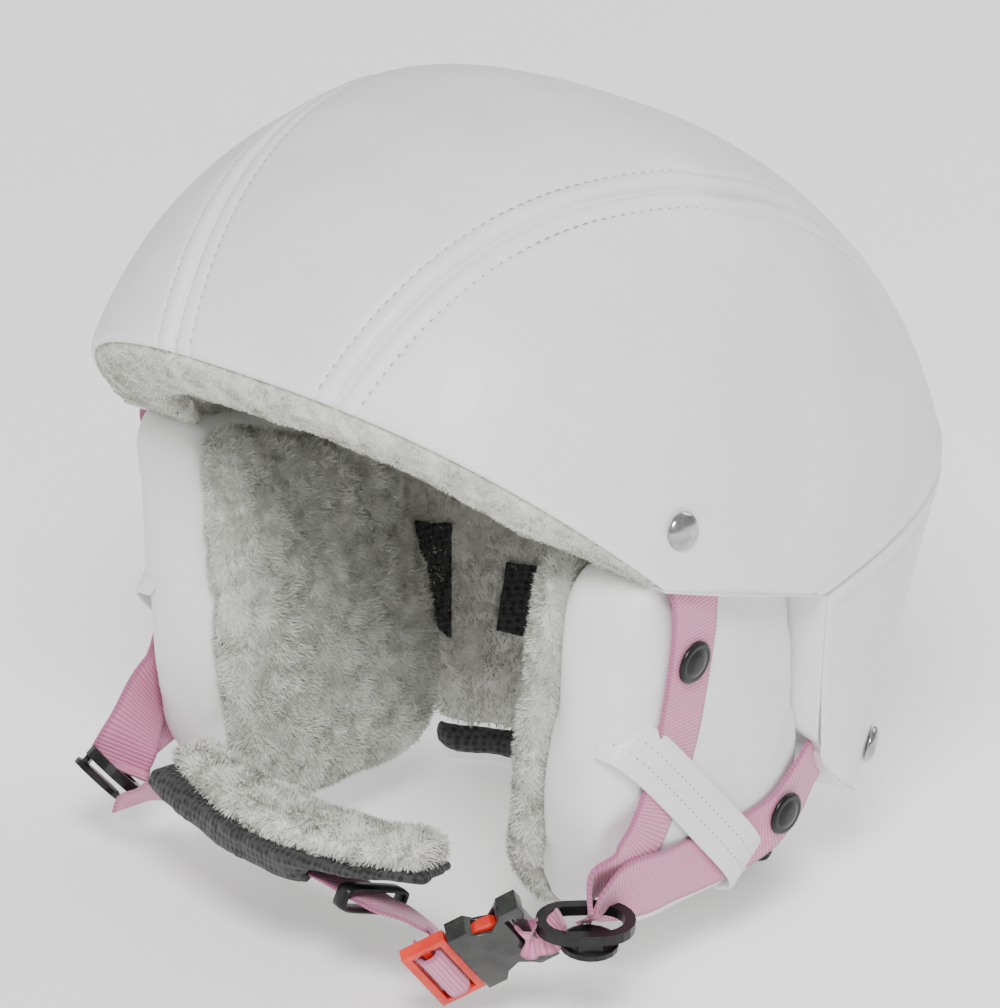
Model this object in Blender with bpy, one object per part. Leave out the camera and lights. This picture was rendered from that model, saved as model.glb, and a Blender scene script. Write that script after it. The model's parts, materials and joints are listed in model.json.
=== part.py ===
"""Ski helmet: a hard shell with a padded leather cover, a foam and fleece inside, hinged ear
pads, and a chin strap with a side-release buckle.

Lengths are millimetres in the design and metres in the meshes. The origin is the flat
underside of the crown pad, where the head seats. The wearer faces -Y, +X is the wearer's
left, +Z is up. Every left-hand piece is built first, and the right-hand one is its mirror.
"""
import math

import bmesh
import bpy
import numpy as np
from mathutils import Matrix, Vector
from mathutils.bvhtree import BVHTree

MM = 0.001
GAP = 0.3                     # clearance between pieces that touch
MIRROR = np.array([-1.0, 1.0, 1.0])

# shell: side profile about its centre, half width, and how full its corners are
HALF_WIDTH = 106.4
FULLNESS = 2.56
PROFILE_CENTRE = (0.0, -108.7)
FRONT_REACH, REAR_REACH = 126.0, 145.0
TOP_REACH, BOTTOM_REACH = 137.6, 100.0
FRONT_EXPONENT, REAR_EXPONENT = 2.36, 1.69
# the rim in side view: temple, rear ear corner, and the slopes of the brim and neck seam
TEMPLE = np.array([-46.0, -80.0])
EAR_CORNER = np.array([22.8, -101.5])
BRIM_ANGLE, NECK_ANGLE = math.radians(138.9), math.radians(6.7)
# neck panel's lower edge: its front corners, its middle, and how far it narrows
NECK_CORNER, NECK_MIDDLE, NECK_TAPER = (39.0, -157.0), (101.0, -200.0), 0.87
NECK_EDGE_CURVE = 0.6
# centre panel half width at the brim, the crown and the neck seam
SEAM_HALF_WIDTHS = (29.8, 64.0, 60.0)
# layers, as depths below the leather's face
COVER = (0.0, 1.8)
HARD_SHELL = (2.1, 4.4)
FOAM = (6.8, 20.0)
LINING = (20.3, 26.0)
# grid that every layer shares
ROLL_SPAN = 0.035             # share of the arc that the brim roll takes
DOME_ROWS, NECK_ROWS = 13, 3
SIDE_COLS, MID_COLS = 6, 6
COLS = 2 * SIDE_COLS + MID_COLS

RIVET_R, RIVET_SHANK_R = 5.5, 2.4
SNAP_R = 6.5
STRAP_W, STRAP_T = 20.0, 1.5
PAD_THICK, PAD_CUP_DEPTH = 38.0, 26.0
PAD_FACE_X, PAD_LEAN = 103.8, 0.11
PAD_OUTLINE = [((-50, -81.5), 9), ((-50, -150), 60), ((-44, -194), 30), ((33, -196), 34),
               ((37, -158), 30), ((20.8, -103.4), 7)]
PAD_HINGE = np.array([94.0, -15.0, -93.5])

# strap dividers: centre, normal and long axis. The straps are soft, so each side hangs its own way
DIVIDERS = {
    "left": ((88.8, -61.1, -181.0), (0.10, -0.10, 0.99), (-0.69, -0.727, 0.0)),
    "right": ((-88.0, -63.0, -188.0), (0.32, 0.64, 0.69), (0.517, -0.727, 0.435)),
}
RING_LONG, RING_SHORT, RING_OPEN, RING_HALF_T = 28.6, 19.0, (22.4, 12.8), 1.6

BUCKLE_AXIS = np.array([0.69, 0.50, 0.52])
BUCKLE_WIDE = np.array([0.07, 0.62, -0.78])
BUCKLE_END = np.array([78.0, -71.0, -181.0])
BUCKLE_W, FEMALE_LEN, FEMALE_T = 25.0, 22.0, 7.2
FRAME_LEN, FRAME_T = 14.0, 4.0
MOUTH_GAP = 0.8
CHIN_CURVE = [(-57, -66, -176), (-33, -73, -178.5), (-4, -79.5, -178.5), (24, -80.5, -176),
              (47, -76, -172.5)]
CHIN_POINTS, TUNNEL_POINTS, TUNNEL_DROP = 15, 10, 4.5
KEEPER_AT = np.array([25.4, -80.0, -187.0])

COLOURS = {  # colour, roughness, metallic
    "leather": ((0.80, 0.81, 0.80), 0.55, 0.0),
    "fleece": ((0.62, 0.63, 0.58), 0.95, 0.0),
    "shell_plastic": ((0.75, 0.75, 0.75), 0.35, 0.0),
    "foam": ((0.85, 0.85, 0.85), 0.8, 0.0),
    "webbing": ((0.62, 0.22, 0.36), 0.7, 0.0),
    "black_plastic": ((0.02, 0.02, 0.02), 0.35, 0.0),
    "black_fabric": ((0.02, 0.02, 0.022), 0.9, 0.0),
    "red_plastic": ((0.62, 0.03, 0.01), 0.35, 0.0),
    "grey_plastic": ((0.07, 0.075, 0.07), 0.3, 0.0),
    "chrome": ((0.8, 0.8, 0.8), 0.15, 1.0),
}


def material(slot):
    """The Principled material of a slot, made once."""
    found = bpy.data.materials.get(slot)
    if found:
        return found
    colour, rough, metal = COLOURS[slot]
    made = bpy.data.materials.new(slot)
    made.use_nodes = True
    shader = made.node_tree.nodes["Principled BSDF"]
    shader.inputs["Base Color"].default_value = (*colour, 1)
    shader.inputs["Roughness"].default_value = rough
    shader.inputs["Metallic"].default_value = metal
    return made


def unit(v):
    v = np.asarray(v, float)
    return v / np.linalg.norm(v, axis=-1, keepdims=True)


def make(name, verts, faces, slot, pivot=None, smooth=True):
    """A named object from millimetre points, with its normals turned outward."""
    mesh = bpy.data.meshes.new(name)
    bm = bmesh.new()
    made = [bm.verts.new(Vector(p) * MM) for p in np.asarray(verts, float)]
    for face in faces:
        bm.faces.new([made[i] for i in face])
    bmesh.ops.recalc_face_normals(bm, faces=bm.faces)
    bmesh.ops.triangulate(bm, faces=bm.faces, quad_method="FIXED", ngon_method="EAR_CLIP")
    bm.to_mesh(mesh)
    bm.free()
    mesh.materials.append(material(slot))
    if smooth:
        mesh.shade_smooth()
        mesh.set_sharp_from_angle(angle=math.radians(35))
    piece = bpy.data.objects.new(name, mesh)
    bpy.context.collection.objects.link(piece)
    if pivot:
        piece.parent = pivot
        piece.matrix_parent_inverse = pivot.matrix_world.inverted()
    return piece


def pivot_at(name, point, parent=None):
    """An empty on a joint's axis, which carries the pieces of one moving body."""
    empty = bpy.data.objects.new(name, None)
    empty.empty_display_size = 0.02
    empty.matrix_world = Matrix.Translation(Vector(point) * MM)
    bpy.context.collection.objects.link(empty)
    if parent:
        empty.parent = parent
        empty.matrix_parent_inverse = parent.matrix_world.inverted()
    bpy.context.view_layer.update()
    return empty


def cut(piece, cutter_verts, cutter_faces, name):
    """Cut a piece with a hidden solid."""
    tool = make(name, cutter_verts, cutter_faces, "foam", smooth=False)
    tool.hide_render = True
    tool.display_type = "WIRE"
    step = piece.modifiers.new(name, "BOOLEAN")
    step.operation = "DIFFERENCE"
    step.solver = "EXACT"
    step.object = tool
    return tool


def join(piece, tool_verts, tool_faces, name):
    """Add a solid to a piece."""
    tool = cut(piece, tool_verts, tool_faces, name)
    piece.modifiers[name].operation = "UNION"
    return tool


# ---- general solids -------------------------------------------------------------------------

def loft(rings, closed=False):
    """Points and faces through a row of rings of equal length; open rows are capped."""
    rings = [np.asarray(r, float) for r in rings]
    n, count = len(rings[0]), len(rings)
    faces = []
    for i in range(count if closed else count - 1):
        a, b = i * n, (i + 1) % count * n
        faces += [(a + k, a + (k + 1) % n, b + (k + 1) % n, b + k) for k in range(n)]
    if not closed:
        faces += [tuple(range(n)), tuple(range((count - 1) * n, count * n))]
    return np.vstack(rings), faces


def lathe(profile, base, axis, sides=16):
    """A turned solid: profile points (radius, height) from pole to pole."""
    axis = unit(axis)
    side = unit(np.cross(axis, (0.3, 0.9, 0.2)))
    other = np.cross(axis, side)
    verts, rings = [], []
    for radius, height in profile:
        mid = np.asarray(base, float) + axis * height
        if radius == 0:
            rings.append([len(verts)])
            verts.append(mid)
            continue
        rings.append(list(range(len(verts), len(verts) + sides)))
        for k in range(sides):
            turn = 2 * math.pi * k / sides
            verts.append(mid + radius * (math.cos(turn) * side + math.sin(turn) * other))
    faces = []
    for a, b in zip(rings, rings[1:]):
        for k in range(sides):
            m = (k + 1) % sides
            if len(a) == 1:
                faces.append((a[0], b[k], b[m]))
            elif len(b) == 1:
                faces.append((a[k], a[m], b[0]))
            else:
                faces.append((a[k], a[m], b[m], b[k]))
    return np.array(verts), faces


def smooth_path(points, count, dense_end=0.0):
    """Catmull-Rom curve resampled by length; extra columns ride along. The last stretch of
    dense_end millimetres can take most of the samples."""
    pts = np.asarray(points, float)
    ends = np.vstack([2 * pts[0] - pts[1], pts, 2 * pts[-1] - pts[-2]])
    fine = []
    for a, b, c, d in zip(ends, ends[1:], ends[2:], ends[3:]):
        for t in np.linspace(0, 1, 16, endpoint=False):
            fine.append(0.5 * (2 * b + (c - a) * t + (2 * a - 5 * b + 4 * c - d) * t * t
                               + (3 * b - 3 * c + d - a) * t ** 3))
    fine = np.array(fine + [pts[-1]])
    run = np.r_[0, np.cumsum(np.linalg.norm(np.diff(fine[:, :3], axis=0), axis=1))]
    at = np.linspace(0, run[-1], count)
    if dense_end:
        few = int(count * 0.4)
        at = np.r_[np.linspace(0, run[-1] - dense_end, few),
                   np.linspace(run[-1] - dense_end, run[-1], count - few + 1)[1:]]
    return np.stack([np.interp(at, run, column) for column in fine.T], -1)


def frames_along(points, wides, count, dense_end=0.0):
    """A smooth path, with its width and thickness directions; each point has a width guide."""
    rows = smooth_path(np.hstack([np.asarray(points, float), np.asarray(wides, float)]), count,
                       dense_end)
    path, guide = rows[:, :3], rows[:, 3:]
    tangent = unit(np.gradient(path, axis=0))
    wide = unit(guide - (guide * tangent).sum(1, keepdims=True) * tangent)
    return path, wide, np.cross(tangent, wide)


def band(points, wides, width=STRAP_W, thick=STRAP_T, count=16, dense_end=0.0, slant=0.0):
    """A flat band along a smooth path; slant cuts its first end at an angle."""
    path, wide, up = frames_along(points, wides, count, dense_end)
    corners = [(-1, -1), (1, -1), (1, 1), (-1, 1)]
    rings = [[p + w * a * width / 2 + u * b * thick / 2 for a, b in corners]
             for p, w, u in zip(path, wide, up)]
    first = unit(path[1] - path[0]) * slant
    rings[0] = [p + first * a for p, (a, _) in zip(rings[0], corners)]
    return loft(rings)


def rounded_outline(corners, per_corner=4):
    """A closed outline with an arc at each (point, radius) corner."""
    pts = [np.array(c[0], float) for c in corners]
    out = []
    for i, (_, radius) in enumerate(corners):
        p, before, after = pts[i], pts[i - 1], pts[(i + 1) % len(pts)]
        a, b = unit(before - p), unit(after - p)
        half = math.acos(np.clip(a @ b, -1, 1)) / 2
        reach = min(radius / math.tan(half), 0.48 * np.linalg.norm(before - p),
                    0.48 * np.linalg.norm(after - p))
        radius = reach * math.tan(half)
        centre = p + unit(a + b) * radius / math.sin(half)
        start, end = p + a * reach - centre, p + b * reach - centre
        turn = math.atan2(start[0] * end[1] - start[1] * end[0], start @ end)
        for t in np.linspace(0, 1, per_corner):
            c, s = math.cos(turn * t), math.sin(turn * t)
            out.append(centre + (start[0] * c - start[1] * s, start[0] * s + start[1] * c))
    return np.array(out)


def inset_outline(outline, by):
    """Move a closed outline inward by a distance."""
    ahead = unit(np.roll(outline, -1, 0) - outline)
    behind = unit(outline - np.roll(outline, 1, 0))
    along = unit(ahead + behind)
    normal = np.stack([-along[:, 1], along[:, 0]], -1)
    area = 0.5 * np.sum(outline[:, 0] * np.roll(outline[:, 1], -1)
                        - outline[:, 1] * np.roll(outline[:, 0], -1))
    return outline + normal * by * np.sign(area)


def prism(outline, origin, x_dir, y_dir, low, high):
    """A flat outline pushed out along its normal."""
    x_dir, y_dir = np.asarray(x_dir), np.asarray(y_dir)
    up = unit(np.cross(x_dir, y_dir))
    flat = [origin + x_dir * a + y_dir * b for a, b in outline]
    return loft([[p + up * low for p in flat], [p + up * high for p in flat]])


def rectangle(x0, x1, y0, y1):
    return [(x0, y0), (x1, y0), (x1, y1), (x0, y1)]


def oval(long, short, count=20):
    """An oval with straight sides and round ends."""
    r, straight = short / 2, (long - short) / 2
    turns = np.linspace(-math.pi / 2, math.pi / 2, count // 2)
    right = [(straight + r * math.cos(t), r * math.sin(t)) for t in turns]
    return right + [(-x, -y) for x, y in right]


# ---- shell surface --------------------------------------------------------------------------

def ease(value, span):
    t = np.clip((value / span + 1) / 2, 0, 1)
    return t * t * (3 - 2 * t)


def profile_radius(angle):
    """Distance from the profile centre to the side view's outline."""
    c, s = np.cos(angle), np.sin(angle)
    rear, top = ease(c, 0.3), ease(s, 0.3)
    reach = FRONT_REACH + (REAR_REACH - FRONT_REACH) * rear
    height = BOTTOM_REACH + (TOP_REACH - BOTTOM_REACH) * top
    power = FRONT_EXPONENT + (REAR_EXPONENT - FRONT_EXPONENT) * rear
    return ((np.abs(c) / reach) ** power + (np.abs(s) / height) ** power) ** (-1 / power)


def inside_share(y, z):
    dy, dz = y - PROFILE_CENTRE[0], z - PROFILE_CENTRE[1]
    return np.hypot(dy, dz) / profile_radius(np.arctan2(dz, dy))


def fan_centre():
    """Where the brim plane meets the neck seam plane, in side view."""
    a = np.array([[math.cos(BRIM_ANGLE), -math.cos(NECK_ANGLE)],
                  [math.sin(BRIM_ANGLE), -math.sin(NECK_ANGLE)]])
    k = np.linalg.solve(a, EAR_CORNER - TEMPLE)
    return TEMPLE + k[0] * a[:, 0]


def half_arch(angle):
    """Fine points from the left rim up to the middle, in the fan's plane at an angle."""
    centre = fan_centre()
    way = np.array([math.cos(angle), math.sin(angle)])
    low, high = 0.0, 300.0
    for _ in range(40):
        mid = (low + high) / 2
        low, high = (mid, high) if inside_share(*(centre + mid * way)) < 1 else (low, mid)
    edge = EAR_CORNER - TEMPLE
    rim = np.linalg.solve(np.array([way, -edge]).T, TEMPLE - centre)[0]
    reach = rim + (low - rim) * np.sin(np.linspace(0, math.pi / 2, 240))
    y, z = centre[0] + reach * way[0], centre[1] + reach * way[1]
    share = np.clip(inside_share(y, z), 0, 1)
    x = HALF_WIDTH * (1 - share ** FULLNESS) ** (1 / FULLNESS)
    x[-1] = 0
    return np.stack([x, y, z], -1)


def resample(line, count):
    run = np.r_[0, np.cumsum(np.linalg.norm(np.diff(line, axis=0), axis=1))]
    at = np.linspace(0, run[-1], count)
    return np.stack([np.interp(at, run, line[:, k]) for k in range(3)], -1)


def arch_row(share):
    """One row of the grid, from the left rim over the head to the right rim."""
    line = half_arch(BRIM_ANGLE + (NECK_ANGLE - BRIM_ANGLE) * share)
    seam_x = np.interp(share, (0, 0.5, 1), SEAM_HALF_WIDTHS)
    split = int(np.argmax(line[:, 0] < seam_x))
    half = np.vstack([resample(line[:split + 1], SIDE_COLS + 1),
                      resample(line[split:], MID_COLS // 2 + 1)[1:]])
    return np.vstack([half, half[-2::-1] * MIRROR])


def neck_row(seam, share):
    """A row of the neck panel, between its seam and its lower edge."""
    back = (seam[:, 1] - seam[0, 1]) / (seam[:, 1].max() - seam[0, 1])
    edge = np.stack([seam[:, 0] * NECK_TAPER,
                     NECK_CORNER[0] + (NECK_MIDDLE[0] - NECK_CORNER[0]) * back,
                     NECK_CORNER[1] + (NECK_MIDDLE[1] - NECK_CORNER[1]) * back ** NECK_EDGE_CURVE],
                    -1)
    return seam + (edge - seam) * share


def shell_grid():
    """Surface points and outward normals: brim roll rows, dome rows, neck rows."""
    shares = [0, ROLL_SPAN / 2] + list(np.linspace(ROLL_SPAN, 1, DOME_ROWS + 1))
    rows = [arch_row(s) for s in shares]
    rows += [neck_row(rows[-1], t) for t in np.linspace(0, 1, NECK_ROWS + 1)[1:]]
    points = np.array(rows)
    normals = unit(np.cross(np.gradient(points, axis=0), np.gradient(points, axis=1)))
    return points, -normals if normals[8, COLS // 2, 2] < 0 else normals


def square_the_rim(normals):
    """Layers run straight inward at the ear opening, so their edges lie on its planes."""
    dome_edge = EAR_CORNER - TEMPLE
    neck_edge = np.array(NECK_CORNER) - EAR_CORNER
    for rows, edge in ((slice(0, 16), dome_edge), (slice(15, None), neck_edge)):
        across = unit(np.array([0.0, -edge[1], edge[0]]))
        for col, share in ((0, 1.0), (1, 0.45), (-1, 1.0), (-2, 0.45)):
            part = normals[rows, col]
            normals[rows, col] = unit(part - share * (part @ across)[:, None] * across)
    return normals


POINTS, NORMALS = shell_grid()
NORMALS = square_the_rim(NORMALS)
ROLL_ROW, SEAM_ROW, LAST_ROW = 2, 2 + DOME_ROWS, 2 + DOME_ROWS + NECK_ROWS
LEFT_SEAM, RIGHT_SEAM = SIDE_COLS, SIDE_COLS + MID_COLS


def block(rows, cols, inset):
    """A part of the grid with its four edges drawn in by millimetres."""
    r = slice(rows[0], rows[1] + 1)
    c = slice(cols[0], cols[1] + 1)
    p, n = POINTS[r, c].copy(), NORMALS[r, c]
    first, last, left, right = inset
    p[0] += first * unit(p[1] - p[0])
    p[-1] += last * unit(p[-2] - p[-1])
    p[:, 0] += left * unit(p[:, 1] - p[:, 0])
    p[:, -1] += right * unit(p[:, -2] - p[:, -1])
    return p, n


def layer(p, n, outer, inner):
    """A closed layer between two depths, given per grid point."""
    h, w = p.shape[:2]
    verts = np.vstack([(p - n * outer).reshape(-1, 3), (p - n * inner).reshape(-1, 3)])
    at = np.arange(h * w).reshape(h, w)
    faces = []
    for i in range(h - 1):
        for j in range(w - 1):
            for tri in ((at[i, j], at[i, j + 1], at[i + 1, j + 1]),
                        (at[i, j], at[i + 1, j + 1], at[i + 1, j])):
                faces += [tri, tuple(v + h * w for v in tri[::-1])]
    edge = np.r_[at[0], at[1:, -1], at[-1, -2::-1], at[-2:0:-1, 0]]
    faces += [(a, b, b + h * w, a + h * w) for a, b in zip(edge, np.roll(edge, -1))]
    return verts, faces


def slab(rows, cols, depths, inset=(0.15, 0.15, 0.15, 0.15), rounded=0.0, front_round=0.0):
    """A closed layer of the grid; its inner face and its front row can round off."""
    p, n = block(rows, cols, inset)
    outer = np.full((*p.shape[:2], 1), float(depths[0]))
    inner = np.full((*p.shape[:2], 1), float(depths[1]))
    if rounded:
        inner[0], inner[-1], inner[:, 0], inner[:, -1] = [depths[1] - rounded] * 4
    outer[0] += front_round
    inner[0] -= front_round
    return layer(p, n, outer, inner)


def surface_point(row, col, depth=0.0):
    """A point and normal at a fractional place on the grid."""
    i, j = int(row), int(col)
    a, b = row - i, col - j
    mix = [(1 - a) * (1 - b), (1 - a) * b, a * (1 - b), a * b]
    at = [(i, j), (i, j + 1), (i + 1, j), (i + 1, j + 1)]
    point = sum(m * POINTS[k] for m, k in zip(mix, at))
    normal = unit(sum(m * NORMALS[k] for m, k in zip(mix, at)))
    return point - normal * depth, normal


# ---- helmet body ----------------------------------------------------------------------------

def shell_pieces():
    every, end = (0, COLS), LAST_ROW
    cover = {
        "cover_centre_panel": ((ROLL_ROW, SEAM_ROW), (LEFT_SEAM, RIGHT_SEAM)),
        "cover_side_panel_left": ((ROLL_ROW, SEAM_ROW), (0, LEFT_SEAM)),
        "cover_side_panel_right": ((ROLL_ROW, SEAM_ROW), (RIGHT_SEAM, COLS)),
        "cover_neck_panel": ((SEAM_ROW, end), every),
    }
    made = {n: make(n, *slab(rows, cols, COVER), "leather") for n, (rows, cols) in cover.items()}
    made["hard_shell"] = make("hard_shell", *slab((ROLL_ROW, end), every, HARD_SHELL,
                                                  (0.6, 0.9, 0.9, 0.9)), "shell_plastic")
    made["foam_liner"] = make("foam_liner", *slab((ROLL_ROW, end), every, FOAM,
                                                  (0.6, 3, 1.2, 1.2)), "foam")
    make("brim_roll", *slab((0, ROLL_ROW), every, (0.0, LINING[1]), (0, 0.6, 0.5, 0.5),
                            front_round=3.0), "fleece")
    return made


def lining_pieces():
    """Fleece pads inside the foam. Rows run from the brim to the neck, columns from the left."""
    front, back = ROLL_ROW, SEAM_ROW
    make("brow_pad", *slab((front, front + 3), (0, COLS), LINING, (0.8, 0.5, 0.6, 0.6), 1.5),
         "fleece")
    for side, cols in (("left", (0, 4)), ("right", (COLS - 4, COLS))):
        make("side_liner_" + side, *slab((front + 3, back - 2), cols, LINING,
                                         (0.5, 0.5, 0.6, 0.6), 1.5), "fleece")
    p, n = block((back - 2, LAST_ROW), (1, COLS - 1), (0.5, 0, 0.6, 0.6))
    target = neck_pad_bottom(p[-1])
    down = unit(p[-1] - p[-2])
    p[-1] += down * ((target - p[-1, :, 2]) / down[:, 2])[:, None]
    outer = np.full((*p.shape[:2], 1), LINING[0])
    inner = np.full((*p.shape[:2], 1), LINING[1])
    outer[-1] += 1.0
    inner[0], inner[:, 0], inner[:, -1] = [LINING[1] - 1.5] * 3
    make("neck_pad", *layer(p, n, outer, inner), "fleece")
    ahead = unit(np.gradient(p[-1], axis=0))
    mids = p[-1] - n[-1] * 23.2 + down * 5.0
    sections = []
    for mid, along, way in zip(mids, ahead, down):
        side = unit(np.cross(along, way))
        sections.append([mid + side * 4.4 * math.cos(t) + way * 4.4 * math.sin(t)
                         for t in np.linspace(0, 2 * math.pi, 8, endpoint=False)])
    make("neck_roll", *loft(sections[1:-1]), "black_fabric")


def neck_pad_bottom(points):
    """Height of the neck pad's lower edge: it hangs below the neck panel, lowest at the back."""
    back = (points[:, 1] - NECK_CORNER[0]) / (NECK_MIDDLE[0] - NECK_CORNER[0])
    return -197.0 - 15.0 * np.clip(back, 0, 1) ** 0.7


def crown_pad():
    """Oval cushion: a domed top under the foam, and a flat underside at the head's seat."""
    ceiling = foam_underside()
    rings = []
    for scale, low in ((0.55, 0.0), (1.0, 0.0), (1.12, 1.6)):
        rings.append([(20 * scale * math.cos(t), 24 * scale * math.sin(t), low)
                      for t in np.linspace(0, 2 * math.pi, 24, endpoint=False)])
    for scale in (1.1, 0.75, 0.4):
        ring = []
        for t in np.linspace(0, 2 * math.pi, 24, endpoint=False):
            x, y = 20 * scale * math.cos(t), 24 * scale * math.sin(t)
            hit = ceiling.ray_cast(Vector((x, y, -50)), Vector((0, 0, 1)))[0]
            ring.append((x, y, hit.z - 2 * GAP - 0.5 * scale))
        rings.append(ring)
    make("crown_pad", *loft(rings), "fleece")


def foam_underside():
    """The foam's inner face, for measuring the space under the crown."""
    inner = POINTS - NORMALS * FOAM[1]
    h, w = inner.shape[:2]
    at = np.arange(h * w).reshape(h, w)
    faces = []
    for i in range(h - 1):
        for j in range(w - 1):
            faces += [(at[i, j], at[i, j + 1], at[i + 1, j + 1]),
                      (at[i, j], at[i + 1, j + 1], at[i + 1, j])]
    return BVHTree.FromPolygons([Vector(p) for p in inner.reshape(-1, 3)],
                                [tuple(int(v) for v in f) for f in faces])


def patch(name, corners, depths, slot, pivot=None):
    """A thin piece that lies along the grid; corners give (row, row, column) per station."""
    rings = []
    for low, high, col in corners:
        rows = np.linspace(low, high, 5)
        top = [surface_point(r, col, depths[0])[0] for r in rows]
        rings.append(top + [surface_point(r, col, depths[1])[0] for r in rows[::-1]])
    return make(name, *loft(rings), slot, pivot)


def elastic_and_label():
    """Black elastic tabs and one plain patch on the neck pad."""
    depths = (LINING[1] + 0.5, LINING[1] + 1.7)
    for name, cols, rows in (("elastic_tab_left", (1.4, 2.0, 2.7), (16.7, 17.9)),
                             ("elastic_tab_right", (COLS - 2.7, COLS - 2.0, COLS - 1.4), (16.7, 17.9)),
                             ("inner_patch", (11.3, 12.0, 12.7, 13.4), (17.05, 17.65))):
        patch(name, [(*rows, c) for c in cols], depths, "black_fabric")


def rivet(name, row, col, covers):
    """A domed cap on the leather, with a shank through the leather and the hard shell."""
    point, normal = surface_point(row, col)
    depth = HARD_SHELL[1]
    lift = 0.9
    profile = [(0, 3.2), (2.6, 2.9), (4.6, 1.9), (RIVET_R, lift), (RIVET_SHANK_R, lift),
               (RIVET_SHANK_R, -depth), (0, -depth)]
    make(name, *lathe(profile, point, normal, 12), "chrome")
    hole = [(0, 8), (RIVET_SHANK_R + GAP, 8), (RIVET_SHANK_R + GAP, -depth - 1.2), (0, -depth - 1.2)]
    for piece in covers:
        cut(piece, *lathe(hole, point, normal, 12), "hole_" + name + "_" + piece.name)


# ---- ear pads -------------------------------------------------------------------------------

def pad_point(y, z, out=0.0):
    """A point on the left pad's outer face plane, moved outward."""
    return np.array([PAD_FACE_X + PAD_LEAN * z + out, y, z])


def pad_ring(outline, depth):
    return [pad_point(y, z, -depth) for y, z in outline]


def ear_pad(side, flip, pivot):
    outline = rounded_outline(PAD_OUTLINE)
    cup = loft([pad_ring(inset_outline(outline, a), d) for a, d in (
        (3.5, 0), (0.8, 2.2), (0, 6), (0, PAD_CUP_DEPTH), (1.6, PAD_CUP_DEPTH), (1.6, 6), (3.2, 2.6))])
    filling = loft([pad_ring(inset_outline(outline, a), d)
                    for a, d in ((4, 3.1), (2, 6.3), (2, PAD_CUP_DEPTH))])
    lining = loft([pad_ring(inset_outline(outline, a), d) for a, d in (
        (0.4, PAD_CUP_DEPTH + GAP), (-1.0, PAD_CUP_DEPTH + 4), (1.5, PAD_CUP_DEPTH + 9),
        (5.5, PAD_THICK))])
    for name, (verts, faces), slot in (("ear_pad_cover_", cup, "leather"),
                                       ("ear_pad_foam_", filling, "foam"),
                                       ("ear_pad_fleece_", lining, "fleece")):
        make(name + side, verts * flip, faces, slot, pivot)


def divider_axes(side):
    """Centre, normal, long and short directions of a divider; short points to the front."""
    centre, normal, long = DIVIDERS[side]
    normal = unit(normal)
    long = unit(long - (np.array(long) @ normal) * normal)
    short = np.cross(long, normal)
    return np.array(centre), normal, long, short if short[1] < 0 else -short


def in_face(y, z):
    """A direction in the left pad's outer face plane."""
    return np.array([PAD_LEAN * z, y, z])


def pad_straps(side, flip, pivot):
    """V straps, their snaps and the keeper band, on the outer face of an ear pad."""
    out = unit(np.array([1.0, 0.0, -PAD_LEAN]))
    drop = np.array([0.0, -2.0, -5.0]) if side == "right" else np.zeros(3)
    front = [pad_point(*p) for p in ((-29, -87.0, 3.1), (-28.3, -97, 3.1), (-28, -108, 3.1),
                                     (-28.5, -115, 2.6), (-29, -121, 1.6), (-30, -135, 1.4),
                                     (-34, -150, 1.4), (-40, -160, 1.8), (-47.5, -167.5, 2.6))]
    front.append(np.array([86.0, -54.0, -167.0]) + drop)
    wides = [in_face(1, 0)] * 5 + [in_face(0.98, -0.15), in_face(0.93, -0.35), in_face(0.85, -0.5),
                                   in_face(0.75, -0.66), in_face(0.75, -0.66)]
    make("strap_front_" + side, *mirrored(band(front, wides, count=20, slant=3.1), flip),
         "webbing", pivot)
    rear = [pad_point(*p) for p in ((33.0, -173.2, 2.2), (26, -175, 3.1), (19, -177.4, 2.6),
                                    (12, -178.6, 1.5), (0, -179.2, 1.5), (-12, -178.8, 1.5),
                                    (-24, -177.2, 1.8), (-30, -175.6, 3.4), (-36, -173.4, 4.9))]
    rear.append(np.array([91.5, -49.0, -166.5]) + drop)
    wides = [in_face(0, -1), in_face(0.25, -0.95), in_face(0.15, -1), in_face(0.05, -1),
             in_face(0, -1), in_face(-0.1, -1), in_face(-0.1, -1), in_face(-0.15, -1),
             in_face(-0.2, -1), in_face(-0.2, -0.95)]
    make("strap_rear_" + side, *mirrored(band(rear, wides, count=22), flip), "webbing", pivot)
    keeper = [pad_point(*p) for p in ((-47.5, -128.5, 3.0), (-41, -134.5, 3.3), (-24, -151, 3.3),
                                      (-8, -167, 4.2), (4, -178, 4.6), (10, -184, 4.6))]
    wides = [in_face(0.72, 0.69)] * len(keeper)
    make("keeper_band_" + side, *mirrored(band(keeper, wides, 21, 1.3, 16), flip), "leather", pivot)
    for place, (y, z) in (("front", (-28, -108)), ("rear", (26, -175))):
        cap = [(0, 2.4), (3.5, 2.2), (5.6, 1.4), (SNAP_R, 0), (0, 0)]
        stud = [(0, 1.6), (4.0, 1.6), (4.6, 0), (0, 0)]
        make(f"snap_cap_{place}_{side}", *mirrored(lathe(cap, pad_point(y, z, 4.3), out), flip),
             "black_plastic", pivot)
        make(f"snap_stud_{place}_{side}", *mirrored(lathe(stud, pad_point(y, z, 0.3), out, 12), flip),
             "black_plastic", pivot)


def mirrored(solid, flip):
    verts, faces = solid
    return verts * flip, faces


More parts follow.
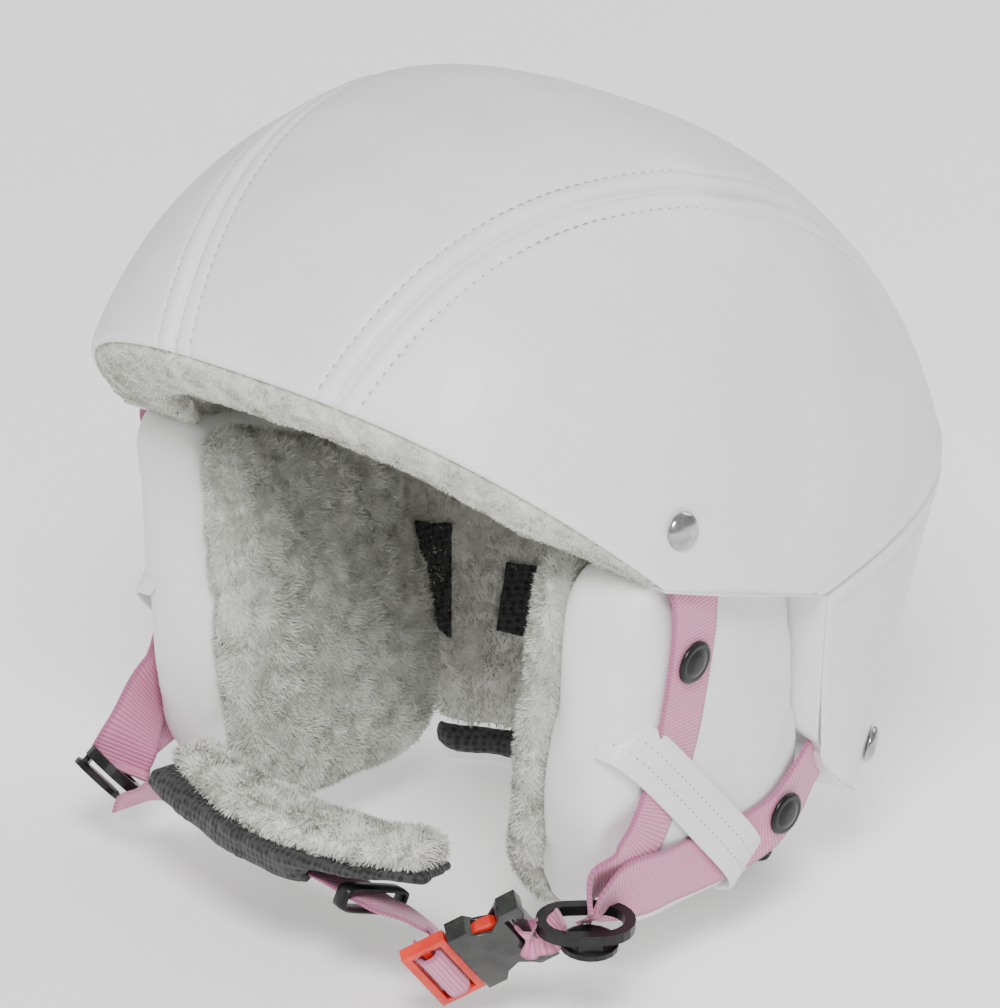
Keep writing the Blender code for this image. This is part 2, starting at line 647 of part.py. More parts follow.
def strap_divider(side, pivot):
    """Oval ring for the V straps, with a round clamp plate below it, as one moulding."""
    at, n, e, d = divider_axes(side)
    outer, hole = oval(RING_LONG, RING_SHORT, 24), oval(*RING_OPEN, 24)
    rings = [[at + e * x + d * y + n * h for x, y in shape]
             for shape, h in ((outer, -RING_HALF_T), (outer, RING_HALF_T), (hole, RING_HALF_T),
                              (hole, -RING_HALF_T))]
    ring = make("strap_divider_" + side, *loft(rings, closed=True), "black_plastic", pivot)
    disc = [(0, -3.7), (7.3, -3.7), (8.5, -4.2), (8.5, -5.9), (0, -5.9)]
    join(ring, *lathe(disc, at - e * 1.0 + d * 2.5, n, 20), "clamp_plate_" + side)
    post = rectangle(-4, 3, 7.4, 9.2)
    join(ring, *prism(post, at, e, d, *post_heights(e, d, n)), "clamp_post_" + side)
    return ring


def post_heights(e, d, n):
    """A prism pushes along its own normal, which may point against the ring's."""
    return (-4.5, -0.8) if np.cross(e, d) @ n > 0 else (0.8, 4.5)


def rear_tail(side, flip):
    """The rear strap between its rivet under the neck panel and the ear pad."""
    rings = []
    for y, z, out, lean in ((35.2, -171.6, 1.2, 0.2), (37.2, -170.0, 0.5, 0.2),
                            (40.0, -167.4, 0.2, 0.1)):
        mid, along = pad_point(y, z, out), in_face(0, 10.0)
        thick = unit(np.array([1.0, lean, -PAD_LEAN])) * 0.6
        rings.append([mid + along + thick, mid - along + thick,
                      mid - along - thick, mid + along - thick])
    for low, high, col in ((17.27, 17.95, 1), (17.1, 17.8, 2),
                           (17.0, 17.75, 3), (17.0, 17.72, 3.35)):
        corners = ((low, 5.0), (high, 5.0), (high, 6.2), (low, 6.2))
        rings.append([surface_point(row, col, depth)[0] for row, depth in corners])
    make("strap_tail_rear_" + side, *mirrored(loft(rings), flip), "webbing")


def front_tail(side):
    """The front strap between its rivet and the rim, in the space outside the foam."""
    stations = [(2.2, 5.4, 0.08), (2.35, 5.3, 0.5), (2.5, 5.1, 1.0), (2.7, 4.9, 1.6)]
    if side == "right":
        stations = [(a, b, COLS - c) for a, b, c in stations[::-1]]
    patch("strap_tail_front_" + side, stations, (5.0, 6.2), "webbing")


# ---- chin strap -----------------------------------------------------------------------------

def buckle_frame():
    u = unit(BUCKLE_AXIS)
    w = unit(BUCKLE_WIDE - (BUCKLE_WIDE @ u) * u)
    return u, w, np.cross(w, u)


def buckle(pivot_left, pivot_male):
    """Female body at the left strap, male frame and its two prongs at the right strap."""
    u, w, n = buckle_frame()
    half = BUCKLE_W / 2
    mouth = BUCKLE_END - u * FEMALE_LEN
    side = [(0, half), (6, half), (8, half - 2.8), (12, half - 4.4), (15, half - 2.0),
            (17, half + 0.2), (23, half + 0.2), (23, 8.5), (21.4, 7.0)]
    outline = [(a, -b) for a, b in side] + side[::-1]
    body = make("buckle_female", *prism(outline, mouth, u, w, -FEMALE_T / 2, FEMALE_T / 2),
                "grey_plastic", pivot_left, smooth=False)
    cut(body, *prism(rectangle(-3, 15.4, -half + 2, half - 2), mouth, u, w, -2.4, 2.4), "prong_pocket")
    cut(body, *prism(rectangle(16.9, 19.5, -9.5, 9.5), mouth, u, w, -9, 9), "loop_slot")
    back = mouth - u * MOUTH_GAP
    frame = make("buckle_male", *prism(rectangle(-FRAME_LEN, 0, -half, half), back, u, w,
                                       -FRAME_T / 2, FRAME_T / 2), "red_plastic", pivot_male,
                 smooth=False)
    for low, high, name in ((-5.6, -2.2, "slot_near"), (-11.6, -8.0, "slot_far")):
        cut(frame, *prism(rectangle(low, high, -10.6, 10.6), back, u, w, -9, 9), name)
    for sign, name in ((1, "front"), (-1, "rear")):
        joint = pivot_at("pivot_prong_" + name, back + w * sign * 8.0, pivot_male)
        arm = [(0.3, 6.6), (8, 6.9), (13.8, 6.6), (15.0, 8.2), (13.6, 9.9), (10.0, 10.1),
               (7.6, 9.4), (0.3, 9.0)]
        arm = [(a, b * sign) for a, b in arm]
        make("buckle_prong_" + name, *prism(arm, back, u, w, -1.9, 1.9), "red_plastic", joint,
             smooth=False)


def left_chin_strap(pivot):
    """Short strap end that wraps the female body's end bar beside the left divider."""
    u, w, n = buckle_frame()
    mouth = BUCKLE_END - u * FEMALE_LEN
    slot = mouth + u * 18.3
    low = w * 3.2
    stations = [(slot - n * 0.8 + low, w, u), (slot + n * 4.0 + low, w, u),
                (slot + u * 0.9 + n * 5.0 + low, w, u - n), (slot + u * 2.0 + n * 5.1 + low, w, -n),
                (slot + u * 3.4 + n * 5.8 + low, w, -n)]
    make("strap_chin_left", *strip(stations, 4.6, 0.5), "webbing", pivot)


def strip(stations, half_width, half_thick):
    """A flat band from explicit stations of (centre, width direction, thickness direction)."""
    rings = []
    for mid, wide, thick in stations:
        wide, thick = unit(wide) * half_width, unit(thick) * half_thick
        rings.append([mid - wide - thick, mid + wide - thick, mid + wide + thick, mid - wide + thick])
    return loft(rings)


def chin_path(down=0.0):
    wides = [(0.1, 0.72, -0.25), (0.05, 0.78, -0.22), (0.0, 0.8, -0.2), (-0.05, 0.78, -0.15),
             (-0.1, 0.76, -0.1)]
    path, wide, up = frames_along(CHIN_CURVE, wides, CHIN_POINTS)
    up = up * np.sign(up[:, 2:3])
    return path - up * down, wide, up


def chin_pad(pivot):
    """Fleece chin cushion, its mesh backing, and the tunnel that the strap runs through."""
    path, wide, up = chin_path()
    taper = np.sin(np.linspace(0.25, math.pi - 0.3, CHIN_POINTS)) ** 0.4
    rings = []
    for p, w, v, t in zip(path, wide, up, taper):
        rings.append([p + v * (5.6 + 5.0 * math.sin(a)) + w * 15.5 * t * math.cos(a)
                      for a in np.linspace(0, 2 * math.pi, 10, endpoint=False)])
    make("chin_pad_fleece", *loft(rings), "fleece", pivot)
    backing = [[p + w * a * 14.5 * t + v * b for a, b in ((-1, 0), (1, 0), (1, -1.6), (-1, -1.6))]
               for p, w, v, t in zip(path, wide, up, taper)]
    make("chin_pad_backing", *loft(backing), "black_fabric", pivot)
    path, wide, up = [rows[:TUNNEL_POINTS] for rows in chin_path(TUNNEL_DROP)]
    make("chin_pad_tunnel", *sleeve(path, wide, up, (12.4, 2.5), (11.0, 1.6)), "black_fabric", pivot)


def sleeve(path, wide, up, outer, inner):
    """A rectangular tube along a path, from its outer and inner half sizes."""
    corners = ((-1, -1), (1, -1), (1, 1), (-1, 1))
    shells = [[[p + w * a * h + v * b * k for a, b in corners] for p, w, v in zip(path, wide, up)]
              for h, k in (outer, inner)]
    return loft(shells[0] + shells[1][::-1], closed=True)


def right_chin_strap(pivot, keeper_pivot):
    """Strap from the right divider through the chin pad's tunnel, the keeper and the frame."""
    u, w, n = buckle_frame()
    back = BUCKLE_END - u * (FEMALE_LEN + MOUTH_GAP)
    path, wide, _ = chin_path(TUNNEL_DROP)
    at, up, long, short = divider_axes("right")
    flat = np.array([0.0, 0.78, -0.26])
    stations = [(at - short * 11.2 - up * 2.0, -long), (np.array([-70, -64.0, -189.5]), (0.1, 0.76, -0.36))]
    stations += [(path[i], wide[i]) for i in (0, 3, 6, 9)]
    stations += [(KEEPER_AT, flat), (KEEPER_AT + (9.0, -0.3, -0.9), flat),
                 (KEEPER_AT + (18.5, 0.2, -2.4), unit(flat + w * 0.5))]
    centres, wides = [p for p, _ in stations], [v for _, v in stations]
    path, wide, thick = frames_along(centres, wides, 40)
    way = [(-6.2, -9.5, 0.83, -0.55), (-4.3, -5.8, 0.93, -0.35), (-3.9, -2.6, 1, 0), (-3.9, 1.6, 1, 0),
           (-4.7, 3.0, 0.7, 0.7), (-5.9, 3.5, 0, 1), (-7.8, 3.5, 0, 1), (-9.0, 3.0, -0.7, 0.7),
           (-9.8, 1.6, -1, 0), (-9.8, -2.6, -1, 0), (-10.2, -6.0, -0.98, 0.1)]
    turn = [(back + u * a + n * b, w, u * c + n * d) for a, b, c, d in way]
    thick = thick * np.sign(thick[-1] @ turn[0][2])
    make("strap_chin_right", *strip(list(zip(path, wide, thick)) + turn, 9.75, 0.6), "webbing",
         pivot)
    ahead = unit(np.array([15.5, -2.0, -2.0]))
    flat = unit(flat - (flat @ ahead) * ahead)
    ends = [KEEPER_AT - ahead * 3, KEEPER_AT + ahead * 3]
    make("keeper_ring", *sleeve(ends, [flat] * 2, [np.cross(ahead, flat)] * 2, (13.4, 4.3),
                                (11.8, 2.8)), "black_fabric", keeper_pivot)


def build():
    for old in list(bpy.data.objects):
        bpy.data.objects.remove(old, do_unlink=True)
    made = shell_pieces()
    lining_pieces()
    crown_pad()
    elastic_and_label()
    for side, flip in (("left", np.ones(3)), ("right", MIRROR)):
        cols = (lambda c: c) if side == "left" else (lambda c: COLS - c)
        panel = made["cover_side_panel_" + side]
        rivet("rivet_front_" + side, ROLL_ROW + 1.6, cols(1.2), (panel, made["hard_shell"]))
        rivet("rivet_rear_" + side, LAST_ROW - 0.5, cols(3.1),
              (made["cover_neck_panel"], made["hard_shell"]))
        front_tail(side)
        rear_tail(side, flip)
        hinge = pivot_at("pivot_ear_pad_" + side, PAD_HINGE * flip)
        ear_pad(side, flip, hinge)
        pad_straps(side, flip, hinge)
        strap_divider(side, hinge)
        chin = pivot_at("pivot_chin_strap_" + side, DIVIDERS[side][0], hinge)
        if side == "left":
            left_pivot = chin
    male = pivot_at("pivot_buckle_male", BUCKLE_END - unit(BUCKLE_AXIS) * FEMALE_LEN, chin)
    keeper = pivot_at("pivot_keeper_ring", KEEPER_AT, chin)
    left_chin_strap(left_pivot)
    buckle(left_pivot, male)
    chin_pad(chin)
    right_chin_strap(chin, keeper)


build()
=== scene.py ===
"""Looks of the ski helmet: sewn leather, fleece with a real pile, webbing and moulded plastic.

The design is in millimetres and the meshes are in metres, in the same frame as the CAD model:
the wearer faces -Y, +X is the wearer's left and +Z is up.
"""

import json
import math

import bmesh
import bpy
import numpy as np
from mathutils import Matrix, Vector


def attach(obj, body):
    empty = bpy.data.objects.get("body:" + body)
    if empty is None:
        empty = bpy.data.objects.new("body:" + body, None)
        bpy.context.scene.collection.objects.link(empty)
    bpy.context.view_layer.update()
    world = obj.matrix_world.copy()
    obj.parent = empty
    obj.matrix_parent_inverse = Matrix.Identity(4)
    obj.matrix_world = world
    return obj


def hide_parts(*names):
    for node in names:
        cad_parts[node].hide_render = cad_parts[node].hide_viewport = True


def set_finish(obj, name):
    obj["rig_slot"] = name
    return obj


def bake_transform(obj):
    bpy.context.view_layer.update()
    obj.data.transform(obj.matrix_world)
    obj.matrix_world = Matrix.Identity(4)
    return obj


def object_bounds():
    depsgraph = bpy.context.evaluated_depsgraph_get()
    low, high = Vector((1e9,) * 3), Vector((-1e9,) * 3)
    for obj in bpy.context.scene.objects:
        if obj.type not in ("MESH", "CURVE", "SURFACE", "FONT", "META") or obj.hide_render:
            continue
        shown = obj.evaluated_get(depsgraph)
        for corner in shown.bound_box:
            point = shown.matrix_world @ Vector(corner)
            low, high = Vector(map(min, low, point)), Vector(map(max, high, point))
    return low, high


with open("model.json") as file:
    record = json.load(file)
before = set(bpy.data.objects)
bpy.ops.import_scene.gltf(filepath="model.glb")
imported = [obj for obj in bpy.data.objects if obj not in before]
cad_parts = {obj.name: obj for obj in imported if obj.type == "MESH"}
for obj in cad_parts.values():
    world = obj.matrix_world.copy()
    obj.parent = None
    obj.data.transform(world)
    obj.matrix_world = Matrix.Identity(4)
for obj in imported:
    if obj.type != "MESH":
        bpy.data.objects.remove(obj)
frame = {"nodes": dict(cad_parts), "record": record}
CAD_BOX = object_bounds()

MM = 0.001
MIRROR = np.array([-1.0, 1.0, 1.0])
ONES = np.ones(3)

# the shell's driving dimensions, as in the CAD model
HALF_WIDTH, FULLNESS = 106.4, 2.56
PROFILE_CENTRE = (0.0, -108.7)
FRONT_REACH, REAR_REACH = 126.0, 145.0
TOP_REACH, BOTTOM_REACH = 137.6, 100.0
FRONT_EXPONENT, REAR_EXPONENT = 2.36, 1.69
TEMPLE, EAR_CORNER = np.array([-46.0, -80.0]), np.array([22.8, -101.5])
BRIM_ANGLE, NECK_ANGLE = math.radians(138.9), math.radians(6.7)
NECK_CORNER, NECK_MIDDLE, NECK_TAPER = (39.0, -157.0), (101.0, -200.0), 0.87
NECK_EDGE_CURVE = 0.6
SEAM_HALF_WIDTHS = (29.8, 64.0, 60.0)
ROLL_SPAN, BRIM_HEM = 0.035, 0.002
COVER_THICK = 1.8
ARCH_POINTS = 240             # points in a fine half arch
DOME_RUN, NECK_RUN = 330.0, 95.0    # about how far the rows run above and below the neck seam
DOME_EVEN, NECK_EVEN = 104, 26      # evenly spaced rows above and below the neck seam
CROWN_ROW = 30                # a row near the crown, where the outside faces up

# sewing
STITCH_PITCH, STITCH_LONG, STITCH_WIDE = 3.3, 2.1, 0.42
SEAM_TO_STITCH = 7.0
CENTRE_LIFT = 0.5             # the centre panel stands proud of the side panels
NEAR_SEAM = [0, 0.5, 1.0, 1.6, 2.4, 3.6, 5.0, 6.0, 6.5, 7.0, 7.5, 8.0, 9.2]
SIDE_EVEN, MID_EVEN = 44, 22  # evenly spaced columns in a side panel and in half the middle one
SIDE_COLS = SIDE_EVEN + len(NEAR_SEAM) - 1
MID_COLS = MID_EVEN + len(NEAR_SEAM) - 1
COLS = 2 * (SIDE_COLS + MID_COLS)
STITCH_SINK = 0.36            # a stitch row lies this far below the unsewn surface
ROWS_SHORT = 5                # the long stitch rows stop this many rows above the neck seam

PAD_FACE_X, PAD_LEAN, PAD_DEEP, PAD_CUP = 103.8, 0.11, 38.0, 26.0
PAD_OUTLINE = [((-50.5, -77.5), 8), ((-50.5, -150), 60), ((-45, -195), 30), ((34, -197), 32),
               ((38.5, -158), 30), ((22, -100.0), 7)]
PAD_PLUMP = 2.0               # how far the padded face stands proud of the pad's plane
KEEPER_WIDE = 16.0
SNAP_R, RIVET_R = 6.5, 5.5
STRAP_W, STRAP_T = 19.4, 1.5
CHIN_STRAP_W, CHIN_STRAP_T = 19.2, 1.2
LOOP_WIDE = 11.5              # the gathered loop between the left divider and the buckle
KEEPER_AT = np.array([25.4, -80.0, -187.0])
CLOTH_PRESSURE, CLOTH_FRAMES = 4.0, 20
MOULD_MOTTLE = 160            # plastic's colour drift, in noise cells per metre
BUCKLE_AXIS, BUCKLE_WIDE = np.array([0.69, 0.50, 0.52]), np.array([0.07, 0.62, -0.78])
BUCKLE_END = np.array([78.0, -71.0, -181.0])
FEMALE_LEN, MOUTH_GAP = 22.0, 0.8
RIB_PITCH, RIB_DEEP = 1.2, 0.14


# ---- camera, light and floor ----------------------------------------------------------------

def aim_camera():
    back = Vector((0.586, -0.711, 0.388)).normalized()
    right = Vector((0.765, 0.644, 0.024))
    right = (right - right.dot(back) * back).normalized()
    up = back.cross(right)
    target = Vector((0.002, 0.0014, -0.0969))
    camera = bpy.data.objects.new("camera", bpy.data.cameras.new("camera"))
    turn = Matrix((right, up, back)).transposed().to_4x4()
    camera.matrix_world = Matrix.Translation(target + back * 3.0) @ turn
    camera.data.sensor_fit = "HORIZONTAL"
    camera.data.sensor_width = 36.0
    camera.data.lens = 374.7
    camera.data.clip_start, camera.data.clip_end = 0.1, 50.0
    bpy.context.collection.objects.link(camera)
    bpy.context.scene.camera = camera


def area_light(name, place, target, size, power):
    light = bpy.data.lights.new(name, "AREA")
    light.shape = "DISK"
    light.size = size
    light.energy = power
    lamp = bpy.data.objects.new(name, light)
    lamp.location = place
    lamp.rotation_mode = "QUATERNION"
    lamp.rotation_quaternion = (Vector(target) - Vector(place)).to_track_quat("-Z", "Y")
    bpy.context.collection.objects.link(lamp)


def light_and_floor():
    world = bpy.data.worlds.new("studio")
    world.use_nodes = True
    sky = world.node_tree.nodes["Background"]
    sky.inputs["Color"].default_value = (1.0, 1.0, 1.0, 1)
    sky.inputs["Strength"].default_value = 0.56
    bpy.context.scene.world = world
    centre = (0, 0, -0.1)
    area_light("key", (0.9, -1.15, 1.25), centre, 0.6, 42)
    area_light("fill", (-0.9, -1.2, 0.3), centre, 1.0, 3)
    area_light("back", (0.2, 1.2, 0.8), centre, 1.0, 9)
    mesh = bpy.data.meshes.new("floor")
    low, wide = CAD_BOX[0].z - 0.003, 6.0
    mesh.from_pydata([(-wide, -wide, low), (wide, -wide, low), (wide, wide, low), (-wide, wide, low)],
                     [], [(0, 1, 2, 3)])
    floor = bpy.data.objects.new("floor", mesh)
    bpy.context.collection.objects.link(floor)
    made = bpy.data.materials.new("floor")
    made.use_nodes = True
    shader = made.node_tree.nodes["Principled BSDF"]
    shader.inputs["Base Color"].default_value = (0.97, 0.97, 0.97, 1)
    shader.inputs["Roughness"].default_value = 0.9
    shader.inputs["Emission Color"].default_value = (1, 1, 1, 1)
    shader.inputs["Emission Strength"].default_value = 0.34
    mesh.materials.append(made)


# ---- materials ------------------------------------------------------------------------------

def blank(name, rough, sheen=0.0, metal=0.0, coat=0.0):
    """A new Principled material, its node tree and its shader."""
    made = bpy.data.materials.new(name)
    made.use_nodes = True
    tree = made.node_tree
    shader = tree.nodes["Principled BSDF"]
    shader.inputs["Roughness"].default_value = rough
    shader.inputs["Metallic"].default_value = metal
    shader.inputs["Sheen Weight"].default_value = sheen
    shader.inputs["Coat Weight"].default_value = coat
    return made, tree, shader


def add(tree, kind, **values):
    node = tree.nodes.new(kind)
    for key, value in values.items():
        node.inputs[key].default_value = value
    return node


def mottle(tree, shader, dark, light, scale, detail=4.0, low=0.35, high=0.65):
    """Base colour that drifts between two tones with a noise at a scale per metre."""
    place = tree.nodes.new("ShaderNodeTexCoord")
    grain = add(tree, "ShaderNodeTexNoise", Scale=scale, Detail=detail)
    ramp = tree.nodes.new("ShaderNodeValToRGB")
    ramp.color_ramp.elements[0].position, ramp.color_ramp.elements[1].position = low, high
    ramp.color_ramp.elements[0].color, ramp.color_ramp.elements[1].color = (*dark, 1), (*light, 1)
    tree.links.new(place.outputs["Object"], grain.inputs["Vector"])
    tree.links.new(grain.outputs["Fac"], ramp.inputs["Fac"])
    tree.links.new(ramp.outputs["Color"], shader.inputs["Base Color"])
    return place, grain


def bump(tree, shader, height, distance, strength, below=None):
    node = tree.nodes.new("ShaderNodeBump")
    node.inputs["Distance"].default_value = distance
    node.inputs["Strength"].default_value = strength
    tree.links.new(height, node.inputs["Height"])
    if below:
        tree.links.new(below.outputs["Normal"], node.inputs["Normal"])
    tree.links.new(node.outputs["Normal"], shader.inputs["Normal"])
    return node


def rough_from(tree, shader, source, low, high):
    spread = tree.nodes.new("ShaderNodeMapRange")
    spread.inputs["To Min"].default_value, spread.inputs["To Max"].default_value = low, high
    tree.links.new(source, spread.inputs["Value"])
    tree.links.new(spread.outputs["Result"], shader.inputs["Roughness"])


def leather():
    made, tree, shader = blank("leather", 0.5, coat=0.06)
    place, grain = mottle(tree, shader, (0.77, 0.785, 0.77), (0.83, 0.84, 0.83), 28, 3.0)
    cells = add(tree, "ShaderNodeTexVoronoi", Scale=950.0)
    cells.feature = "DISTANCE_TO_EDGE"
    tree.links.new(place.outputs["Object"], cells.inputs["Vector"])
    soft = add(tree, "ShaderNodeTexNoise", Scale=60.0, Detail=3.0)
    tree.links.new(place.outputs["Object"], soft.inputs["Vector"])
    wrinkle = bump(tree, shader, soft.outputs["Fac"], 0.0004, 0.5)
    bump(tree, shader, cells.outputs["Distance"], 0.00012, 0.5, wrinkle)
    rough_from(tree, shader, grain.outputs["Fac"], 0.42, 0.6)
    return made


def fleece(name="fleece", dark=(0.54, 0.54, 0.48), light=(0.80, 0.80, 0.74)):
    made, tree, shader = blank(name, 0.95, sheen=0.35)
    place, _ = mottle(tree, shader, dark, light, 150, 6.0, 0.28, 0.66)
    curl = add(tree, "ShaderNodeTexNoise", Scale=900.0, Detail=5.0, Distortion=1.2)
    tree.links.new(place.outputs["Object"], curl.inputs["Vector"])
    bump(tree, shader, curl.outputs["Fac"], 0.0009, 0.8)
    return made


def webbing():
    """Ribbed webbing: U runs across the strap and V along it, one rib to a unit; the colour is painted
    darker in the grooves between ribs and at the rounded edges, as shade.
    """
    made, tree, shader = blank("webbing", 0.62, sheen=0.3)
    uv = tree.nodes.new("ShaderNodeUVMap")
    split = tree.nodes.new("ShaderNodeSeparateXYZ")
    tree.links.new(uv.outputs["UV"], split.inputs["Vector"])
    rib = tree.nodes.new("ShaderNodeMath")
    rib.operation = "PINGPONG"
    rib.inputs[1].default_value = 0.5
    tree.links.new(split.outputs["Y"], rib.inputs[0])
    # painted shade: the rib ramp is dark at the rib valleys and lighter on the crests
    ramp = tree.nodes.new("ShaderNodeValToRGB")
    ramp.color_ramp.elements[0].position, ramp.color_ramp.elements[1].position = 0.02, 0.34
    ramp.color_ramp.elements[0].color = (0.47, 0.13, 0.25, 1)
    ramp.color_ramp.elements[1].color = (0.66, 0.245, 0.39, 1)
    tree.links.new(rib.outputs[0], ramp.inputs["Fac"])
    # painted shade: the strap's rounded edges are mixed towards dark magenta, where the edge turns
    # from the light
    edge = tree.nodes.new("ShaderNodeMath")
    edge.operation = "PINGPONG"
    edge.inputs[1].default_value = 0.5
    tree.links.new(split.outputs["X"], edge.inputs[0])
    side = tree.nodes.new("ShaderNodeMapRange")
    side.inputs["From Min"].default_value, side.inputs["From Max"].default_value = 0.02, 0.09
    side.inputs["To Min"].default_value, side.inputs["To Max"].default_value = 0.45, 1.0
    tree.links.new(edge.outputs[0], side.inputs["Value"])
    painted_edge_shade = tree.nodes.new("ShaderNodeMix")
    painted_edge_shade.data_type = "RGBA"
    painted_edge_shade.inputs["A"].default_value = (0.20, 0.03, 0.11, 1)
    tree.links.new(side.outputs["Result"], painted_edge_shade.inputs["Factor"])
    tree.links.new(ramp.outputs["Color"], painted_edge_shade.inputs["B"])
    tree.links.new(painted_edge_shade.outputs["Result"], shader.inputs["Base Color"])
    place = tree.nodes.new("ShaderNodeTexCoord")
    thread = add(tree, "ShaderNodeTexNoise", Scale=1800.0, Detail=3.0)
    tree.links.new(place.outputs["Object"], thread.inputs["Vector"])
    first = bump(tree, shader, rib.outputs[0], 0.0004, 0.7)
    bump(tree, shader, thread.outputs["Fac"], 0.0002, 0.6, first)
    return made


def plastic(name, dark, light, rough, coat=0.2, gloss=0.5):
    made, tree, shader = blank(name, rough, coat=coat)
    shader.inputs["Specular IOR Level"].default_value = gloss
    place, grain = mottle(tree, shader, dark, light, MOULD_MOTTLE)
    fine = add(tree, "ShaderNodeTexNoise", Scale=1400.0, Detail=2.0)
    tree.links.new(place.outputs["Object"], fine.inputs["Vector"])
    bump(tree, shader, fine.outputs["Fac"], 0.00004, 0.5)
    rough_from(tree, shader, grain.outputs["Fac"], rough * 0.8, rough * 1.3)
    return made


def knit():
    """Black spacer mesh: a net of raised threads, with painted shade darkening the sunken holes
    between them.
    """
    made, tree, shader = blank("black_mesh", 0.8, sheen=0.12)
    place = tree.nodes.new("ShaderNodeTexCoord")
    holes = add(tree, "ShaderNodeTexVoronoi", Scale=520.0, Randomness=0.35)
    tree.links.new(place.outputs["Object"], holes.inputs["Vector"])
    # painted shade: the holes are coloured near-black and the threads lighter
    ramp = tree.nodes.new("ShaderNodeValToRGB")
    ramp.color_ramp.elements[0].position, ramp.color_ramp.elements[1].position = 0.25, 0.6
    ramp.color_ramp.elements[0].color = (0.003, 0.003, 0.003, 1)
    ramp.color_ramp.elements[1].color = (0.035, 0.035, 0.037, 1)
    tree.links.new(holes.outputs["Distance"], ramp.inputs["Fac"])
    tree.links.new(ramp.outputs["Color"], shader.inputs["Base Color"])
    bump(tree, shader, holes.outputs["Distance"], 0.0006, 0.9)
    return made


def chrome():
    made, tree, shader = blank("chrome", 0.14, metal=1.0)
    # painted reflection: the base colour is darker than polished chrome and mottled, standing in for
    # the dark surroundings the metal mirrors
    _, grain = mottle(tree, shader, (0.30, 0.30, 0.31), (0.50, 0.50, 0.51), 300)
    rough_from(tree, shader, grain.outputs["Fac"], 0.08, 0.24)
    return made


def thread():
    made, tree, shader = blank("thread", 0.7, sheen=0.2)
    mottle(tree, shader, (0.22, 0.23, 0.21), (0.36, 0.37, 0.35), 700)
    return made


def foam_bead():
    made, tree, shader = blank("foam", 0.75)
    place, _ = mottle(tree, shader, (0.68, 0.68, 0.66), (0.78, 0.78, 0.76), 60)
    beads = add(tree, "ShaderNodeTexVoronoi", Scale=330.0)
    tree.links.new(place.outputs["Object"], beads.inputs["Vector"])
    bump(tree, shader, beads.outputs["Distance"], 0.0005, 0.7)
    return made


LOOKS = {
    "leather": leather(), "fleece": fleece(),
    "fleece_pad": fleece("fleece_pad", (0.50, 0.51, 0.45), (0.73, 0.74, 0.68)),
    "webbing": webbing(), "chrome": chrome(),
    "thread": thread(), "black_fabric": knit(), "foam": foam_bead(),
    "shell_plastic": plastic("shell_plastic", (0.70, 0.71, 0.70), (0.78, 0.79, 0.78), 0.4),
    "black_plastic": plastic("black_plastic", (0.004, 0.004, 0.004), (0.012, 0.012, 0.013), 0.3,
                             0.0, gloss=0.3),
    "red_plastic": plastic("red_plastic", (0.58, 0.018, 0.008), (0.74, 0.035, 0.016), 0.26),
    "grey_plastic": plastic("grey_plastic", (0.012, 0.013, 0.012), (0.026, 0.028, 0.026), 0.18),
}


# ---- mesh tools -----------------------------------------------------------------------------

def unit(v):
    v = np.asarray(v, float)
    return v / np.maximum(np.linalg.norm(v, axis=-1, keepdims=True), 1e-12)


def make(name, verts, faces, look, slot=None):
    """A named object from millimetre points."""
    mesh = bpy.data.meshes.new(name)
    mesh.from_pydata((np.asarray(verts, float) * MM).tolist(), [], faces)
    bm = bmesh.new()
    bm.from_mesh(mesh)
    bmesh.ops.recalc_face_normals(bm, faces=bm.faces)
    bm.to_mesh(mesh)
    bm.free()
    mesh.materials.append(LOOKS[look])
    mesh.shade_smooth()
    piece = bpy.data.objects.new(name, mesh)
    bpy.context.collection.objects.link(piece)
    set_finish(piece, slot or look)
    return piece


def points_of(piece):
    out = np.empty(len(piece.data.vertices) * 3)
    piece.data.vertices.foreach_get("co", out)
    return out.reshape(-1, 3) / MM


def put_points(piece, points):
    piece.data.vertices.foreach_set("co", (np.asarray(points) * MM).ravel())
    piece.data.update()


def normals_of(piece):
    out = np.empty(len(piece.data.vertices) * 3)
    piece.data.vertices.foreach_get("normal", out)
    return out.reshape(-1, 3)


def copy_of(nodes, name, look):
    """One new piece with the shape of one or more CAD nodes."""
    bm = bmesh.new()
    for node in nodes:
        bm.from_mesh(frame["nodes"][node].data)
    bmesh.ops.remove_doubles(bm, verts=bm.verts, dist=1e-6)
    mesh = bpy.data.meshes.new(name)
    bm.to_mesh(mesh)
    bm.free()
    mesh.materials.clear()
    mesh.materials.append(LOOKS[look])
    piece = bpy.data.objects.new(name, mesh)
    bpy.context.collection.objects.link(piece)
    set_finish(piece, look)
    return piece


def apply_all(piece):
    """Bake a piece's modifiers into its mesh."""
    graph = bpy.context.evaluated_depsgraph_get()
    baked = bpy.data.meshes.new_from_object(piece.evaluated_get(graph))
    piece.modifiers.clear()
    piece.data = baked
    baked.shade_smooth()


def refine(piece, levels):
    """Subdivide a piece and bake the result."""
    fine = piece.modifiers.new("fine", "SUBSURF")
    fine.levels = fine.render_levels = levels
    apply_all(piece)


def remesh(piece, voxel, smooth, levels=0):
    """Join a piece into one even skin, relax it, and subdivide it if levels are given."""
    step = piece.modifiers.new("remesh", "REMESH")
    step.mode = "VOXEL"
    step.voxel_size = voxel * MM
    relax = piece.modifiers.new("relax", "SMOOTH")
    relax.factor, relax.iterations = 0.5, smooth
    if levels:
        refine(piece, levels)
    else:
        apply_all(piece)


